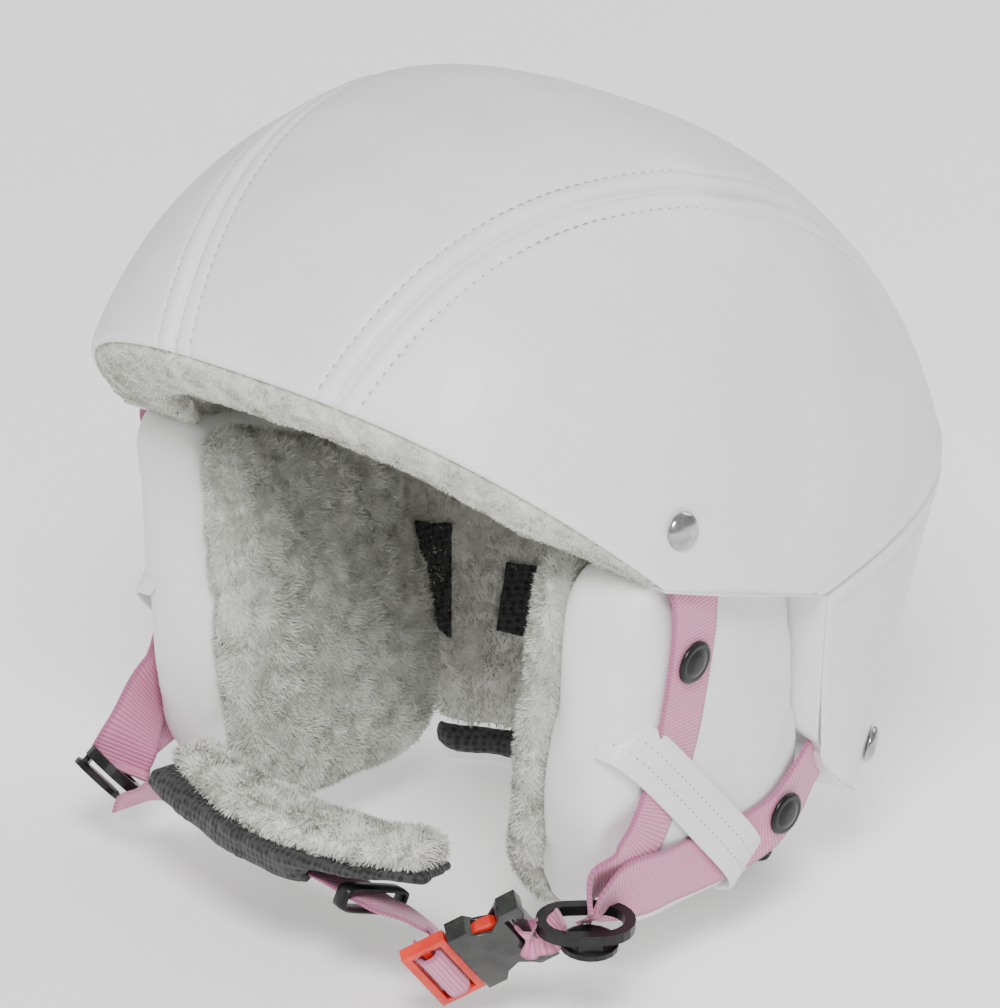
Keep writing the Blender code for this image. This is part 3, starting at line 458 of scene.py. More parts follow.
def inflate(piece, cap):
    """Cloth pressure swells a closed pad; no point moves further than the cap."""
    scene = bpy.context.scene
    before = points_of(piece)
    step = piece.modifiers.new("cloth", "CLOTH")
    cloth = step.settings
    cloth.quality = 5
    cloth.mass = 0.3
    cloth.tension_stiffness = cloth.compression_stiffness = 20
    cloth.bending_stiffness = 2.0
    cloth.use_pressure = True
    cloth.uniform_pressure_force = CLOTH_PRESSURE
    cloth.effector_weights.gravity = 0
    step.point_cache.frame_start, step.point_cache.frame_end = 1, CLOTH_FRAMES
    for number in range(1, CLOTH_FRAMES + 1):
        scene.frame_set(number)
    graph = bpy.context.evaluated_depsgraph_get()
    shape = piece.evaluated_get(graph).to_mesh()
    after = np.empty(len(before) * 3)
    shape.vertices.foreach_get("co", after)
    after = after.reshape(-1, 3) / MM
    piece.modifiers.clear()
    scene.frame_set(1)
    move = after - before
    far = np.linalg.norm(move, axis=1, keepdims=True)
    put_points(piece, before + move * np.minimum(1, cap / np.maximum(far, 1e-9)))


def value_noise(points, pitch, seed):
    """Smooth noise from -1 to 1 at each point, with the given pitch in millimetres."""
    table = np.random.default_rng(seed).uniform(-1, 1, (32, 32, 32))
    place = points / pitch + 1000
    cell = np.floor(place).astype(int)
    part = place - cell
    part = part * part * (3 - 2 * part)
    total = 0
    for dx in (0, 1):
        for dy in (0, 1):
            for dz in (0, 1):
                weight = (np.abs(1 - dx - part[:, 0]) * np.abs(1 - dy - part[:, 1])
                          * np.abs(1 - dz - part[:, 2]))
                total = total + weight * table[(cell[:, 0] + dx) % 32, (cell[:, 1] + dy) % 32,
                                               (cell[:, 2] + dz) % 32]
    return total


def ruffle(piece, waves, seed=3):
    """Move a piece's points along their normals by noises of (pitch, height)."""
    p, n = points_of(piece), normals_of(piece)
    lift = sum(value_noise(p, pitch, seed + k) * high for k, (pitch, high) in enumerate(waves))
    put_points(piece, p + n * lift[:, None])


def grow_pile(piece, per_cm2, length, seed=5, width=0.45):
    """Add short bent fibres over a fleece piece, in locks that lean together."""
    mesh = piece.data
    mesh.calc_loop_triangles()
    tris = np.empty(len(mesh.loop_triangles) * 3, int)
    mesh.loop_triangles.foreach_get("vertices", tris)
    tris = tris.reshape(-1, 3)
    p, n = points_of(piece), normals_of(piece)
    a, b, c = p[tris[:, 0]], p[tris[:, 1]], p[tris[:, 2]]
    area = np.linalg.norm(np.cross(b - a, c - a), axis=1) / 2
    rng = np.random.default_rng(seed)
    count = int(area.sum() / 100 * per_cm2)
    pick = rng.choice(len(tris), count, p=area / area.sum())
    u, v = rng.random(count), rng.random(count)
    over = u + v > 1
    u[over], v[over] = 1 - u[over], 1 - v[over]
    root = a[pick] + (b - a)[pick] * u[:, None] + (c - a)[pick] * v[:, None]
    up = unit(n[tris[pick]].mean(1))
    lock = np.stack([value_noise(root, 4.5, seed + k) for k in (1, 2, 3)], -1)
    droop = np.array([0, -0.1, -0.35])
    lean = lock * 1.5 + rng.normal(0, 0.35, (count, 3)) + droop
    lean -= (lean * up).sum(1, keepdims=True) * up
    side = unit(np.cross(up, lean)) * (width / 2)
    long = (length * rng.uniform(0.6, 1.25, count))[:, None]
    middle = root + (unit(up + lean * 0.5)) * long * 0.55
    tip = middle + (unit(up * 0.6 + lean * 1.1)) * long * 0.5
    verts = np.concatenate([root - side - up * 0.2, root + side - up * 0.2,
                            middle + side * 0.8, middle - side * 0.8, tip])
    k = np.arange(count)
    quads = np.stack([k, k + count, k + 2 * count, k + 3 * count], -1) + len(p)
    tips = np.stack([k + 3 * count, k + 2 * count, k + 4 * count], -1) + len(p)
    faces = [tuple(f.vertices) for f in mesh.polygons]
    faces += [tuple(f) for f in quads.tolist()] + [tuple(f) for f in tips.tolist()]
    grown = bpy.data.meshes.new(piece.name)
    grown.from_pydata((np.vstack([p, verts]) * MM).tolist(), [], faces)
    grown.materials.append(mesh.materials[0])
    grown.shade_smooth()
    piece.data = grown


def mirror_of(piece, name):
    """The right-hand copy of a left-hand piece."""
    mesh = piece.data.copy()
    mesh.transform(Matrix.Diagonal((-1, 1, 1, 1)))
    mesh.flip_normals()
    twin = bpy.data.objects.new(name, mesh)
    bpy.context.collection.objects.link(twin)
    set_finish(twin, piece["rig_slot"])
    return twin


def loft(rings, closed=False):
    rings = [np.asarray(r, float) for r in rings]
    n, count = len(rings[0]), len(rings)
    faces = []
    for i in range(count if closed else count - 1):
        a, b = i * n, (i + 1) % count * n
        faces += [(a + k, a + (k + 1) % n, b + (k + 1) % n, b + k) for k in range(n)]
    if not closed:
        faces += [tuple(range(n)), tuple(range((count - 1) * n, count * n))]
    return np.vstack(rings), faces


def lathe(profile, base, axis, sides=40):
    axis = unit(axis)
    side = unit(np.cross(axis, (0.3, 0.9, 0.2)))
    other = np.cross(axis, side)
    rings = [[np.asarray(base) + axis * h + max(r, 0.01) * (math.cos(t) * side + math.sin(t) * other)
              for t in np.linspace(0, 2 * math.pi, sides, endpoint=False)] for r, h in profile]
    return loft(rings)


def smooth_rows(points, step):
    """Catmull-Rom rows resampled every step millimetres; extra columns ride along."""
    pts = np.asarray(points, float)
    ends = np.vstack([2 * pts[0] - pts[1], pts, 2 * pts[-1] - pts[-2]])
    fine = []
    for a, b, c, d in zip(ends, ends[1:], ends[2:], ends[3:]):
        for t in np.linspace(0, 1, 24, endpoint=False):
            fine.append(0.5 * (2 * b + (c - a) * t + (2 * a - 5 * b + 4 * c - d) * t * t
                               + (3 * b - 3 * c + d - a) * t ** 3))
    fine = np.array(fine + [pts[-1]])
    run = np.r_[0, np.cumsum(np.linalg.norm(np.diff(fine[:, :3], axis=0), axis=1))]
    at = np.arange(0, run[-1], step)
    return np.stack([np.interp(at, run, column) for column in fine.T], -1), at


def strap(name, points, wides, look="webbing", width=STRAP_W, thick=STRAP_T, flip=ONES,
          rib=RIB_DEEP):
    """A flat band with rounded edges; webbing has a raised rib at each pitch along it."""
    rows, run = smooth_rows(np.hstack([np.asarray(points, float), np.asarray(wides, float)]),
                            RIB_PITCH / 4)
    path, guide = rows[:, :3], rows[:, 3:]
    tangent = unit(np.gradient(path, axis=0))
    wide = unit(guide - (guide * tangent).sum(1, keepdims=True) * tangent)
    up = np.cross(tangent, wide)
    wave = 0.5 - 0.5 * np.cos(2 * np.pi * run / RIB_PITCH)
    across = [-1, -0.97, -0.9, -0.45, 0, 0.45, 0.9, 0.97, 1]
    bulge = [0.35, 0.75, 1, 1, 1, 1, 1, 0.75, 0.35]
    rings = []
    for k in range(len(path)):
        half = thick / 2 - rib * (1 - wave[k]) / 2
        top = [path[k] + wide[k] * a * width / 2 + up[k] * b * half for a, b in zip(across, bulge)]
        low = [path[k] + wide[k] * a * width / 2 - up[k] * b * half for a, b in zip(across, bulge)]
        rings.append(top + low[::-1])
    verts, faces = loft(rings)
    piece = make(name, verts * flip, faces, look)
    count = len(across) * 2
    layer = piece.data.uv_layers.new(name="ribs")
    owner = np.empty(len(piece.data.loops), int)
    piece.data.loops.foreach_get("vertex_index", owner)
    spot = owner % count
    share = np.array([(a + 1) / 2 for a in across + across[::-1]])[spot]
    flat = np.stack([share, run[owner // count] / RIB_PITCH], -1)
    layer.data.foreach_set("uv", flat.astype(np.float32).ravel())
    return piece


def axis_of(node):
    """Middle and axis of a turned CAD node, pointing away from the helmet's middle."""
    mesh = frame["nodes"][node].data
    p = np.array([v.co for v in mesh.vertices]) / MM
    p = np.unique(np.round(p, 3), axis=0)
    middle = p.mean(0)
    values, vectors = np.linalg.eigh(np.cov((p - middle).T))
    odd = 0 if values[1] - values[0] > values[2] - values[1] else 2
    axis = vectors[:, odd]
    axis = axis * np.sign(axis @ (middle - np.array([0, 0, -110])))
    heights = (p - middle) @ axis
    return middle, axis, heights.min(), heights.max()


def bevelled(node, name, look, body, width):
    """A moulded CAD node with its sharp edges rounded."""
    piece = copy_of([node], name, look)
    bm = bmesh.new()
    bm.from_mesh(piece.data)
    bmesh.ops.dissolve_limit(bm, angle_limit=math.radians(1.5), verts=bm.verts, edges=bm.edges)
    bm.to_mesh(piece.data)
    bm.free()
    step = piece.modifiers.new("bevel", "BEVEL")
    step.width, step.segments = width * MM, 3
    step.limit_method, step.angle_limit = "ANGLE", math.radians(32)
    step.use_clamp_overlap = True
    apply_all(piece)
    piece.data.set_sharp_from_angle(angle=math.radians(40))
    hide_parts(node)
    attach(piece, body)


# ---- shell surface --------------------------------------------------------------------------

def ease(value, span):
    t = np.clip((value / span + 1) / 2, 0, 1)
    return t * t * (3 - 2 * t)


def profile_radius(angle):
    c, s = np.cos(angle), np.sin(angle)
    rear, top = ease(c, 0.3), ease(s, 0.3)
    reach = FRONT_REACH + (REAR_REACH - FRONT_REACH) * rear
    height = BOTTOM_REACH + (TOP_REACH - BOTTOM_REACH) * top
    power = FRONT_EXPONENT + (REAR_EXPONENT - FRONT_EXPONENT) * rear
    return ((np.abs(c) / reach) ** power + (np.abs(s) / height) ** power) ** (-1 / power)


def inside_share(y, z):
    dy, dz = y - PROFILE_CENTRE[0], z - PROFILE_CENTRE[1]
    return np.hypot(dy, dz) / profile_radius(np.arctan2(dz, dy))


def fan_centre():
    """Where the brim plane meets the neck seam plane, in side view."""
    a = np.array([[math.cos(BRIM_ANGLE), -math.cos(NECK_ANGLE)],
                  [math.sin(BRIM_ANGLE), -math.sin(NECK_ANGLE)]])
    k = np.linalg.solve(a, EAR_CORNER - TEMPLE)
    return TEMPLE + k[0] * a[:, 0]


def half_arch(angle):
    """Fine points from the left rim up to the middle, in the fan's plane at an angle."""
    centre = fan_centre()
    way = np.array([math.cos(angle), math.sin(angle)])
    low, high = 0.0, 300.0
    for _ in range(40):
        mid = (low + high) / 2
        low, high = (mid, high) if inside_share(*(centre + mid * way)) < 1 else (low, mid)
    edge = EAR_CORNER - TEMPLE
    rim = np.linalg.solve(np.array([way, -edge]).T, TEMPLE - centre)[0]
    reach = rim + (low - rim) * np.sin(np.linspace(0, math.pi / 2, ARCH_POINTS))
    y, z = centre[0] + reach * way[0], centre[1] + reach * way[1]
    share = np.clip(inside_share(y, z), 0, 1)
    x = HALF_WIDTH * (1 - share ** FULLNESS) ** (1 / FULLNESS)
    x[-1] = 0
    return np.stack([x, y, z], -1)


def at_lengths(line, away_from_end, count):
    """Resample a line: evenly, and at set distances before its end."""
    run = np.r_[0, np.cumsum(np.linalg.norm(np.diff(line, axis=0), axis=1))]
    near = run[-1] - np.array(away_from_end[::-1])
    at = np.r_[np.linspace(0, near[0], count, endpoint=False), near]
    return np.stack([np.interp(at, run, line[:, k]) for k in range(3)], -1)


def arch_row(share):
    """A row from the left rim over the head to the right rim, dense beside the seams."""
    line = half_arch(BRIM_ANGLE + (NECK_ANGLE - BRIM_ANGLE) * share)
    seam_x = np.interp(share, (0, 0.5, 1), SEAM_HALF_WIDTHS)
    split = int(np.argmax(line[:, 0] < seam_x))
    t = (seam_x - line[split - 1, 0]) / (line[split, 0] - line[split - 1, 0])
    seam = line[split - 1] + (line[split] - line[split - 1]) * t
    side = at_lengths(np.vstack([line[:split], seam]), NEAR_SEAM, SIDE_EVEN)
    middle = at_lengths(np.vstack([seam, line[split:]])[::-1], NEAR_SEAM, MID_EVEN)[::-1]
    half = np.vstack([side, middle[1:]])
    return np.vstack([half, half[-2::-1] * MIRROR])


def neck_row(seam, share):
    back = (seam[:, 1] - seam[0, 1]) / (seam[:, 1].max() - seam[0, 1])
    edge = np.stack([seam[:, 0] * NECK_TAPER,
                     NECK_CORNER[0] + (NECK_MIDDLE[0] - NECK_CORNER[0]) * back,
                     NECK_CORNER[1] + (NECK_MIDDLE[1] - NECK_CORNER[1]) * back ** NECK_EDGE_CURVE],
                    -1)
    return seam + (edge - seam) * share


def surface_grid():
    """The leather's outer surface: dome rows from the brim to the neck seam, then neck rows."""
    end = 1 - np.array(NEAR_SEAM[::-1]) / DOME_RUN
    shares = np.r_[np.linspace(BRIM_HEM, end[0], DOME_EVEN, endpoint=False), end]
    rows = [arch_row(s) for s in shares]
    near = np.array(NEAR_SEAM[1:]) / NECK_RUN
    down = np.r_[near, np.linspace(near[-1], 1, NECK_EVEN)[1:]]
    rows += [neck_row(rows[-1], t) for t in down]
    points = np.array(rows)
    normals = unit(np.cross(np.gradient(points, axis=0), np.gradient(points, axis=1)))
    if normals[CROWN_ROW, COLS // 2, 2] < 0:
        normals = -normals
    return points, normals, len(shares) - 1


POINTS, NORMALS, SEAM_ROW = surface_grid()
LEFT_SEAM, RIGHT_SEAM = SIDE_COLS, SIDE_COLS + 2 * MID_COLS


def run_from(line_points, index):
    """Distance along the first axis from a row or column index, at every point."""
    step = np.linalg.norm(np.diff(line_points, axis=0), axis=-1)
    run = np.concatenate([np.zeros((1, *step.shape[1:])), np.cumsum(step, axis=0)])
    return np.abs(run - run[index])


def sewn_profile(away):
    """Height beside a seam: the turned-in edge, the plump strip, and the stitch channel."""
    valley = -2.2 * np.exp(-(away / 1.15) ** 2)
    plump = 0.55 * np.exp(-((away - 3.8) / 2.2) ** 2)
    channel = -0.55 * np.exp(-((away - SEAM_TO_STITCH) / 0.7) ** 2)
    return valley + plump + channel


def panel(name, node, rows, cols, lift=0.0):
    """A leather panel: its face with sewn edges and soft drape, and a turned edge."""
    r, c = slice(rows[0], rows[1] + 1), slice(cols[0], cols[1] + 1)
    p, n = POINTS[r, c].copy(), NORMALS[r, c]
    across = p.transpose(1, 0, 2)
    high = np.zeros(p.shape[:2])
    for seam in (LEFT_SEAM, RIGHT_SEAM):
        if seam in cols and rows[1] <= SEAM_ROW:
            high += sewn_profile(run_from(across, seam - cols[0]).T)
    if SEAM_ROW in rows:
        high += sewn_profile(run_from(p, SEAM_ROW - rows[0])) * 0.8
    flat = p.reshape(-1, 3)
    high += (value_noise(flat, 38, 11) * 0.35 + value_noise(flat, 15, 12) * 0.1).reshape(high.shape)
    rim = np.minimum(np.minimum(run_from(p, 0), run_from(p, -1)),
                     np.minimum(run_from(across, 0).T, run_from(across, -1).T))
    high += lift * (1 - np.exp(-rim / 5.0))
    high -= 0.7 * np.exp(-rim / 0.8)
    face = p + n * high[..., None]
    back = p - n * COVER_THICK
    h, w = p.shape[:2]
    verts = np.vstack([face.reshape(-1, 3), back.reshape(-1, 3)])
    at = np.arange(h * w).reshape(h, w)
    faces = []
    for i in range(h - 1):
        for j in range(w - 1):
            quad = (at[i, j], at[i, j + 1], at[i + 1, j + 1], at[i + 1, j])
            faces += [quad, tuple(v + h * w for v in quad[::-1])]
    edge = np.r_[at[0], at[1:, -1], at[-1, -2::-1], at[-2:0:-1, 0]]
    faces += [(a, b, b + h * w, a + h * w) for a, b in zip(edge, np.roll(edge, -1))]
    made = make(name, verts, [tuple(int(v) for v in f) for f in faces], "leather")
    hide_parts(node)
    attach(made, "helmet")


def stitch_run(line, normals, pitch=STITCH_PITCH):
    """Small threads laid along a line on the leather."""
    run = np.r_[0, np.cumsum(np.linalg.norm(np.diff(line, axis=0), axis=1))]
    verts, faces = [], []
    for start in np.arange(pitch, run[-1] - pitch, pitch):
        a, b, n = [np.array([np.interp(s, run, rows[:, k]) for k in range(3)])
                   for s, rows in ((start, line), (start + STITCH_LONG, line), (start, normals))]
        side = unit(np.cross(b - a, n)) * STITCH_WIDE / 2
        sink = n * 0.25
        base = len(verts)
        mid = (a + b) / 2 + n * 0.12
        for spot, grow in ((a - sink, 0.5), (mid, 1.0), (b - sink, 0.5)):
            verts += [spot + side * grow, spot + n * 0.18 * grow, spot - side * grow,
                      spot - n * 0.18 * grow]
        for ring in (0, 4):
            for k in range(4):
                m = (k + 1) % 4
                faces.append((base + ring + k, base + ring + m, base + ring + 4 + m,
                              base + ring + 4 + k))
        faces += [(base, base + 1, base + 2, base + 3), (base + 8, base + 9, base + 10, base + 11)]
    return verts, faces


def stitching():
    """Stitch rows on both sides of the two long seams, and below and above the neck seam."""
    verts, faces = [], []
    away = NEAR_SEAM.index(SEAM_TO_STITCH)
    lines = []
    for seam, middle_side in ((LEFT_SEAM, 1), (RIGHT_SEAM, -1)):
        for side in (-1, 1):
            lines.append((POINTS[:SEAM_ROW - ROWS_SHORT, seam + side * away],
                          NORMALS[:SEAM_ROW - ROWS_SHORT, seam + side * away],
                          CENTRE_LIFT * 0.75 if side == middle_side else 0.0))
    for row in (SEAM_ROW - away, SEAM_ROW + away):
        lines.append((POINTS[row], NORMALS[row], 0.0))
    for line, normals, lift in lines:
        v, f = stitch_run(line - normals * (STITCH_SINK - lift), normals)
        faces += [tuple(i + len(verts) for i in face) for face in f]
        verts += v
    made = make("shell_stitching", verts, faces, "thread", "leather")
    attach(made, "helmet")


def shell():
    panel("leather_centre", "cover_centre_panel", (0, SEAM_ROW), (LEFT_SEAM, RIGHT_SEAM),
          CENTRE_LIFT)
    panel("leather_side_left", "cover_side_panel_left", (0, SEAM_ROW), (0, LEFT_SEAM))
    panel("leather_side_right", "cover_side_panel_right", (0, SEAM_ROW), (RIGHT_SEAM, COLS))
    panel("leather_neck", "cover_neck_panel", (SEAM_ROW, len(POINTS) - 1), (0, COLS))
    stitching()


# ---- fleece and padding ---------------------------------------------------------------------

def fleece_pad(name, nodes, body, voxel, smooth, levels, pile, length, seed, swell=0.0,
               waves=((9, 0.6), (3.2, 0.55), (1.6, 0.3))):
    """A fleece piece on CAD nodes: pile is fibres per square centimetre, length is in mm."""
    piece = copy_of(nodes, name, "fleece")
    remesh(piece, voxel, smooth)
    if swell:
        inflate(piece, swell)
    refine(piece, levels)
    ruffle(piece, waves, seed)
    grow_pile(piece, pile, length, seed)
    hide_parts(*nodes)
    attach(piece, body)


def brim_roll():
    """Suede-faced roll along the brim, bulging ahead of the leather's edge."""
    section = ((0.9, 2.2, 0.0), (0.15, 2.2, 0.0), (0.0, 2.4, 0.3), (0.0, 5.0, 2.8), (0.0, 9.0, 5.0),
               (0.0, 15.0, 7.2), (0.0, 21.0, 8.2), (0.0, 25.0, 6.8), (0.0, 26.9, 3.6),
               (0.4, 27.0, 0.0), (1.0, 26.8, 0.0), (1.0, 14.0, 0.0))
    rows = {share: arch_row(ROLL_SPAN * share) for share in {part[0] for part in section}}
    ahead = unit(rows[0.0] - rows[1.0])
    fade = np.clip(np.minimum(np.arange(COLS + 1), np.arange(COLS, -1, -1)) / 14.0, 0.12, 1)
    rings = [[rows[share][col] - NORMALS[0, col] * deep + ahead[col] * proud * fade[col]
              for share, deep, proud in section] for col in range(1, COLS)]
    piece = make("brim_suede", *loft(rings), "fleece")
    refine(piece, 2)
    ruffle(piece, ((14, 0.4), (3.0, 0.22), (1.4, 0.12)), 21)
    grow_pile(piece, 260, 0.9, 21, 0.35)
    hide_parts("brim_roll")
    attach(piece, "helmet")


def rim_skirt():
    """Leather turned in along the ear openings and the neck, over the shell and foam edges."""
    ear = unit(np.array([0.0, EAR_CORNER[1] - TEMPLE[1], TEMPLE[0] - EAR_CORNER[0]]))
    neck_run = np.array(NECK_CORNER) - EAR_CORNER
    neck = unit(np.array([0.0, neck_run[1], -neck_run[0]]))
    for side, col in (("left", 0), ("right", COLS)):
        rings = []
        for row in range(len(POINTS)):
            across = ear if row <= SEAM_ROW else neck
            n = NORMALS[row, col]
            n = unit(n - (n @ across) * across)
            p = POINTS[row, col] + across * 0.15
            rings.append([p - n * d + across * t for d, t in
                          ((0.2, 0), (1.0, 0.45), (8, 0.5), (15, 0.45), (20.2, 0.1),
                           (20.2, -0.6), (15, -0.5), (8, -0.5), (1.0, -0.5))])
        piece = make("rim_leather_" + side, *loft(rings), "leather")
        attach(piece, "helmet")
    rings = []
    for col in range(COLS + 1):
        p, n = POINTS[-1, col], NORMALS[-1, col]
        down = unit(POINTS[-1, col] - POINTS[-3, col])
        rings.append([p - n * d + down * t for d, t in
                      ((0.2, 0), (1.0, 0.5), (8, 0.5), (15, 0.4), (20.2, 0.1), (20.2, -0.6),
                       (8, -0.5), (1.0, -0.5))])
    piece = make("rim_leather_neck", *loft(rings), "leather")
    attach(piece, "helmet")


def linings():
    brim_roll()
    rim_skirt()
    for name, node, voxel, smooth, pile, length, seed in (
            ("brow_fleece", "brow_pad", 2.2, 4, 110, 2.0, 22),
            ("side_fleece_left", "side_liner_left", 2.2, 4, 110, 2.0, 23),
            ("side_fleece_right", "side_liner_right", 2.2, 4, 110, 2.0, 24),
            ("neck_fleece", "neck_pad", 2.2, 4, 90, 2.2, 25),
            ("crown_fleece", "crown_pad", 2.0, 3, 90, 1.6, 26)):
        fleece_pad(name, [node], "helmet", voxel, smooth, 1, pile, length, seed)
    roll = copy_of(["neck_roll"], "neck_edge_roll", "black_fabric")
    remesh(roll, 1.4, 4, 1)
    ruffle(roll, ((7, 0.35), (1.8, 0.15)), 31)
    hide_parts("neck_roll")
    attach(roll, "helmet")
    for node in ("elastic_tab_left", "elastic_tab_right", "inner_patch"):
        piece = copy_of([node], node + "_cloth", "black_fabric")
        remesh(piece, 0.55, 2)
        ruffle(piece, ((5, 0.2), (1.2, 0.08)), 33)
        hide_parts(node)
        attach(piece, "helmet")


# ---- ear pads -------------------------------------------------------------------------------

def rounded_outline(corners, per_corner=10):
    pts = [np.array(c[0], float) for c in corners]
    out = []
    for i, (_, radius) in enumerate(corners):
        p, before, after = pts[i], pts[i - 1], pts[(i + 1) % len(pts)]
        a, b = unit(before - p), unit(after - p)
        half = math.acos(np.clip(a @ b, -1, 1)) / 2
        reach = min(radius / math.tan(half), 0.48 * np.linalg.norm(before - p),
                    0.48 * np.linalg.norm(after - p))
        radius = reach * math.tan(half)
        centre = p + unit(a + b) * radius / math.sin(half)
        start, end = p + a * reach - centre, p + b * reach - centre
        turn = math.atan2(start[0] * end[1] - start[1] * end[0], start @ end)
        for t in np.linspace(0, 1, per_corner):
            c, s = math.cos(turn * t), math.sin(turn * t)
            out.append(centre + (start[0] * c - start[1] * s, start[0] * s + start[1] * c))
    return np.array(out)


def inset_outline(outline, by):
    ahead = unit(np.roll(outline, -1, 0) - outline)
    behind = unit(outline - np.roll(outline, 1, 0))
    along = unit(ahead + behind)
    normal = np.stack([-along[:, 1], along[:, 0]], -1)
    area = 0.5 * np.sum(outline[:, 0] * np.roll(outline[:, 1], -1)
                        - outline[:, 1] * np.roll(outline[:, 0], -1))
    return outline + normal * by * np.sign(area)


def pad_point(y, z, out=0.0):
    return np.array([PAD_FACE_X + PAD_LEAN * z + PAD_PLUMP + out, y, z])


def pad_ring(outline, depth):
    """A pad section; the plump outer face eases back to the pad's own plane with depth."""
    ease_back = PAD_PLUMP * min(depth / 12.0, 1.0)
    return [pad_point(y, z, -depth - ease_back) for y, z in outline]


def cushion(name, section, look, slot, voxel, swell, waves, seed):
    """A part of the ear pad, from (inset, depth) sections, swollen by cloth pressure."""
    outline = rounded_outline(PAD_OUTLINE)
    rings = [pad_ring(inset_outline(outline, inset), depth) for inset, depth in section]
    piece = make(name, *loft(rings), look, slot)
    remesh(piece, voxel, 2)
    inflate(piece, swell)
    refine(piece, 2)
    ruffle(piece, waves, seed)
    return piece


def ear_pads():
    left = cushion("ear_pad_leather_left",
                   ((7, 0), (2.4, 0.2), (0.2, 1.8), (-1.2, 6), (-1.5, 14), (-1.2, 22),
                    (-0.4, PAD_CUP), (8, PAD_CUP + 1)),
                   "leather", "leather", 4.5, 3.0, ((26, 0.5), (9, 0.16)), 41)
    soft = cushion("ear_pad_pile_left",
                   ((0, PAD_CUP - 0.6), (-1.6, PAD_CUP + 1.5), (-1.8, PAD_CUP + 5),
                    (1.2, PAD_DEEP - 1), (7, PAD_DEEP + 0.4)),
                   "fleece_pad", "fleece", 4.0, 2.0, ((11, 0.6), (3.4, 0.4), (1.7, 0.25)), 42)
    grow_pile(soft, 300, 2.0, 43, 0.36)
    right = mirror_of(left, "ear_pad_leather_right")
    soft_right = mirror_of(soft, "ear_pad_pile_right")
    for side, cover, pile in (("left", left, soft), ("right", right, soft_right)):
        for piece, node, fill in ((cover, "ear_pad_cover_", 0.8), (pile, "ear_pad_fleece_", 0.5)):
            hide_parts(node + side)
            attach(piece, "ear_pad_" + side)
        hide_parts("ear_pad_foam_" + side)


def in_face(y, z):
    return np.array([PAD_LEAN * z, y, z])


def pad_straps(side, flip):
    drop = np.array([0.0, -2.0, -5.0]) if side == "right" else np.zeros(3)
    ring = np.array([88.8, -61.1, -181.0]) if side == "left" else np.array([88.0, -63.0, -188.0])
    front = [(92.0, -38.0, -70.0), (93.5, -34.0, -78.0)]
    front += [pad_point(*p) for p in ((-30.5, -86.0, 2.6), (-28.6, -96, 3.3), (-28, -108, 3.2),
                                      (-28, -122, 2.8), (-28.5, -135, 2.4), (-32, -150, 2.2),
                                      (-38, -162, 2.4), (-46, -168.5, 2.8))]
    front += [np.array([86.3, -55.0, -172.0]) + drop, ring + (0.6, 1.2, 1.0)]
    wides = [in_face(0.95, -0.3)] * 2 + [in_face(1, 0)] * 4
    wides += [in_face(0.98, -0.15), in_face(0.93, -0.35), in_face(0.85, -0.5)]
    wides += [in_face(0.75, -0.66), (-0.35, 0.6, -0.6), (-0.6, 0.7, -0.2)]
    piece = strap("webbing_front_" + side, front, wides, flip=flip)
    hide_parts("strap_front_" + side, "strap_tail_front_" + side)
    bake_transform(piece)
    rear = [(83.5, 55.0, -160.0), (85.5, 46.0, -165.0)]
    rear += [pad_point(*p) for p in ((37, -168.5, 1.0), (30, -173, 2.4), (22, -177, 3.2),
                                     (10, -179.4, 2.8), (-5, -179.4, 2.7), (-20, -178.5, 3.0),
                                     (-32, -177.2, 4.6))]
    rear += [np.array([90.8, -45.0, -175.5]) + drop, np.array([89.6, -54.0, -177.0]) + drop,
             ring + (-0.4, 0.8, 0.4)]
    wides = [in_face(0.1, -1)] * 2 + [in_face(0.2, -1)] * 2 + [in_face(0.12, -1)]
    wides += [in_face(0, -1), in_face(-0.05, -1), in_face(-0.1, -1), in_face(-0.2, -1)]
    wides += [(-0.15, -0.3, -0.95), (-0.4, 0.35, -0.8), (-0.6, 0.7, -0.25)]
    piece = strap("webbing_rear_" + side, rear, wides, flip=flip)
    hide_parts("strap_rear_" + side, "strap_tail_rear_" + side)
    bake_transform(piece)
    keeper_band(side, flip)
    for place in ("front", "rear"):
        snap(f"snap_cap_{place}_{side}", "ear_pad_" + side)


def keeper_band(side, flip):
    """White leather band over both straps, with a stitch row inside each edge."""
    path = [pad_point(*p) for p in ((-48.0, -128.0, -8.0), (-46.6, -129.3, -1.5),
                                    (-43.5, -132.3, 1.5), (-37.5, -138, 3.3),
                                    (-24, -151, 3.9), (-8, -167, 4.9),
                                    (3, -178, 5.3), (9.5, -184.5, 4.0), (13.5, -189, 1.2),
                                    (16, -192.5, -6.0))]
    wides = [in_face(0.72, 0.69)] * len(path)
    piece = strap("keeper_leather_" + side, path, wides, "leather", KEEPER_WIDE, 1.4, flip, 0.0)
    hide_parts("keeper_band_" + side)
    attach(piece, "ear_pad_" + side)
    rows, _ = smooth_rows(np.hstack([np.array(path), np.array(wides)]), 1.0)
    tangent = unit(np.gradient(rows[:, :3], axis=0))
    wide = unit(rows[:, 3:] - (rows[:, 3:] * tangent).sum(1, keepdims=True) * tangent)
    out = np.cross(tangent, wide)
    out = out * np.sign(out[:, :1])
    verts, faces = [], []
    for share in (-0.32, 0.30):
        v, f = stitch_run(rows[:, :3] + wide * share * KEEPER_WIDE / 2 + out * 0.68, out, 2.8)
        faces += [tuple(i + len(verts) for i in face) for face in f]
        verts += v
    sewn = make("keeper_stitching_" + side, np.array(verts) * flip, faces, "thread", "leather")
    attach(sewn, "ear_pad_" + side)


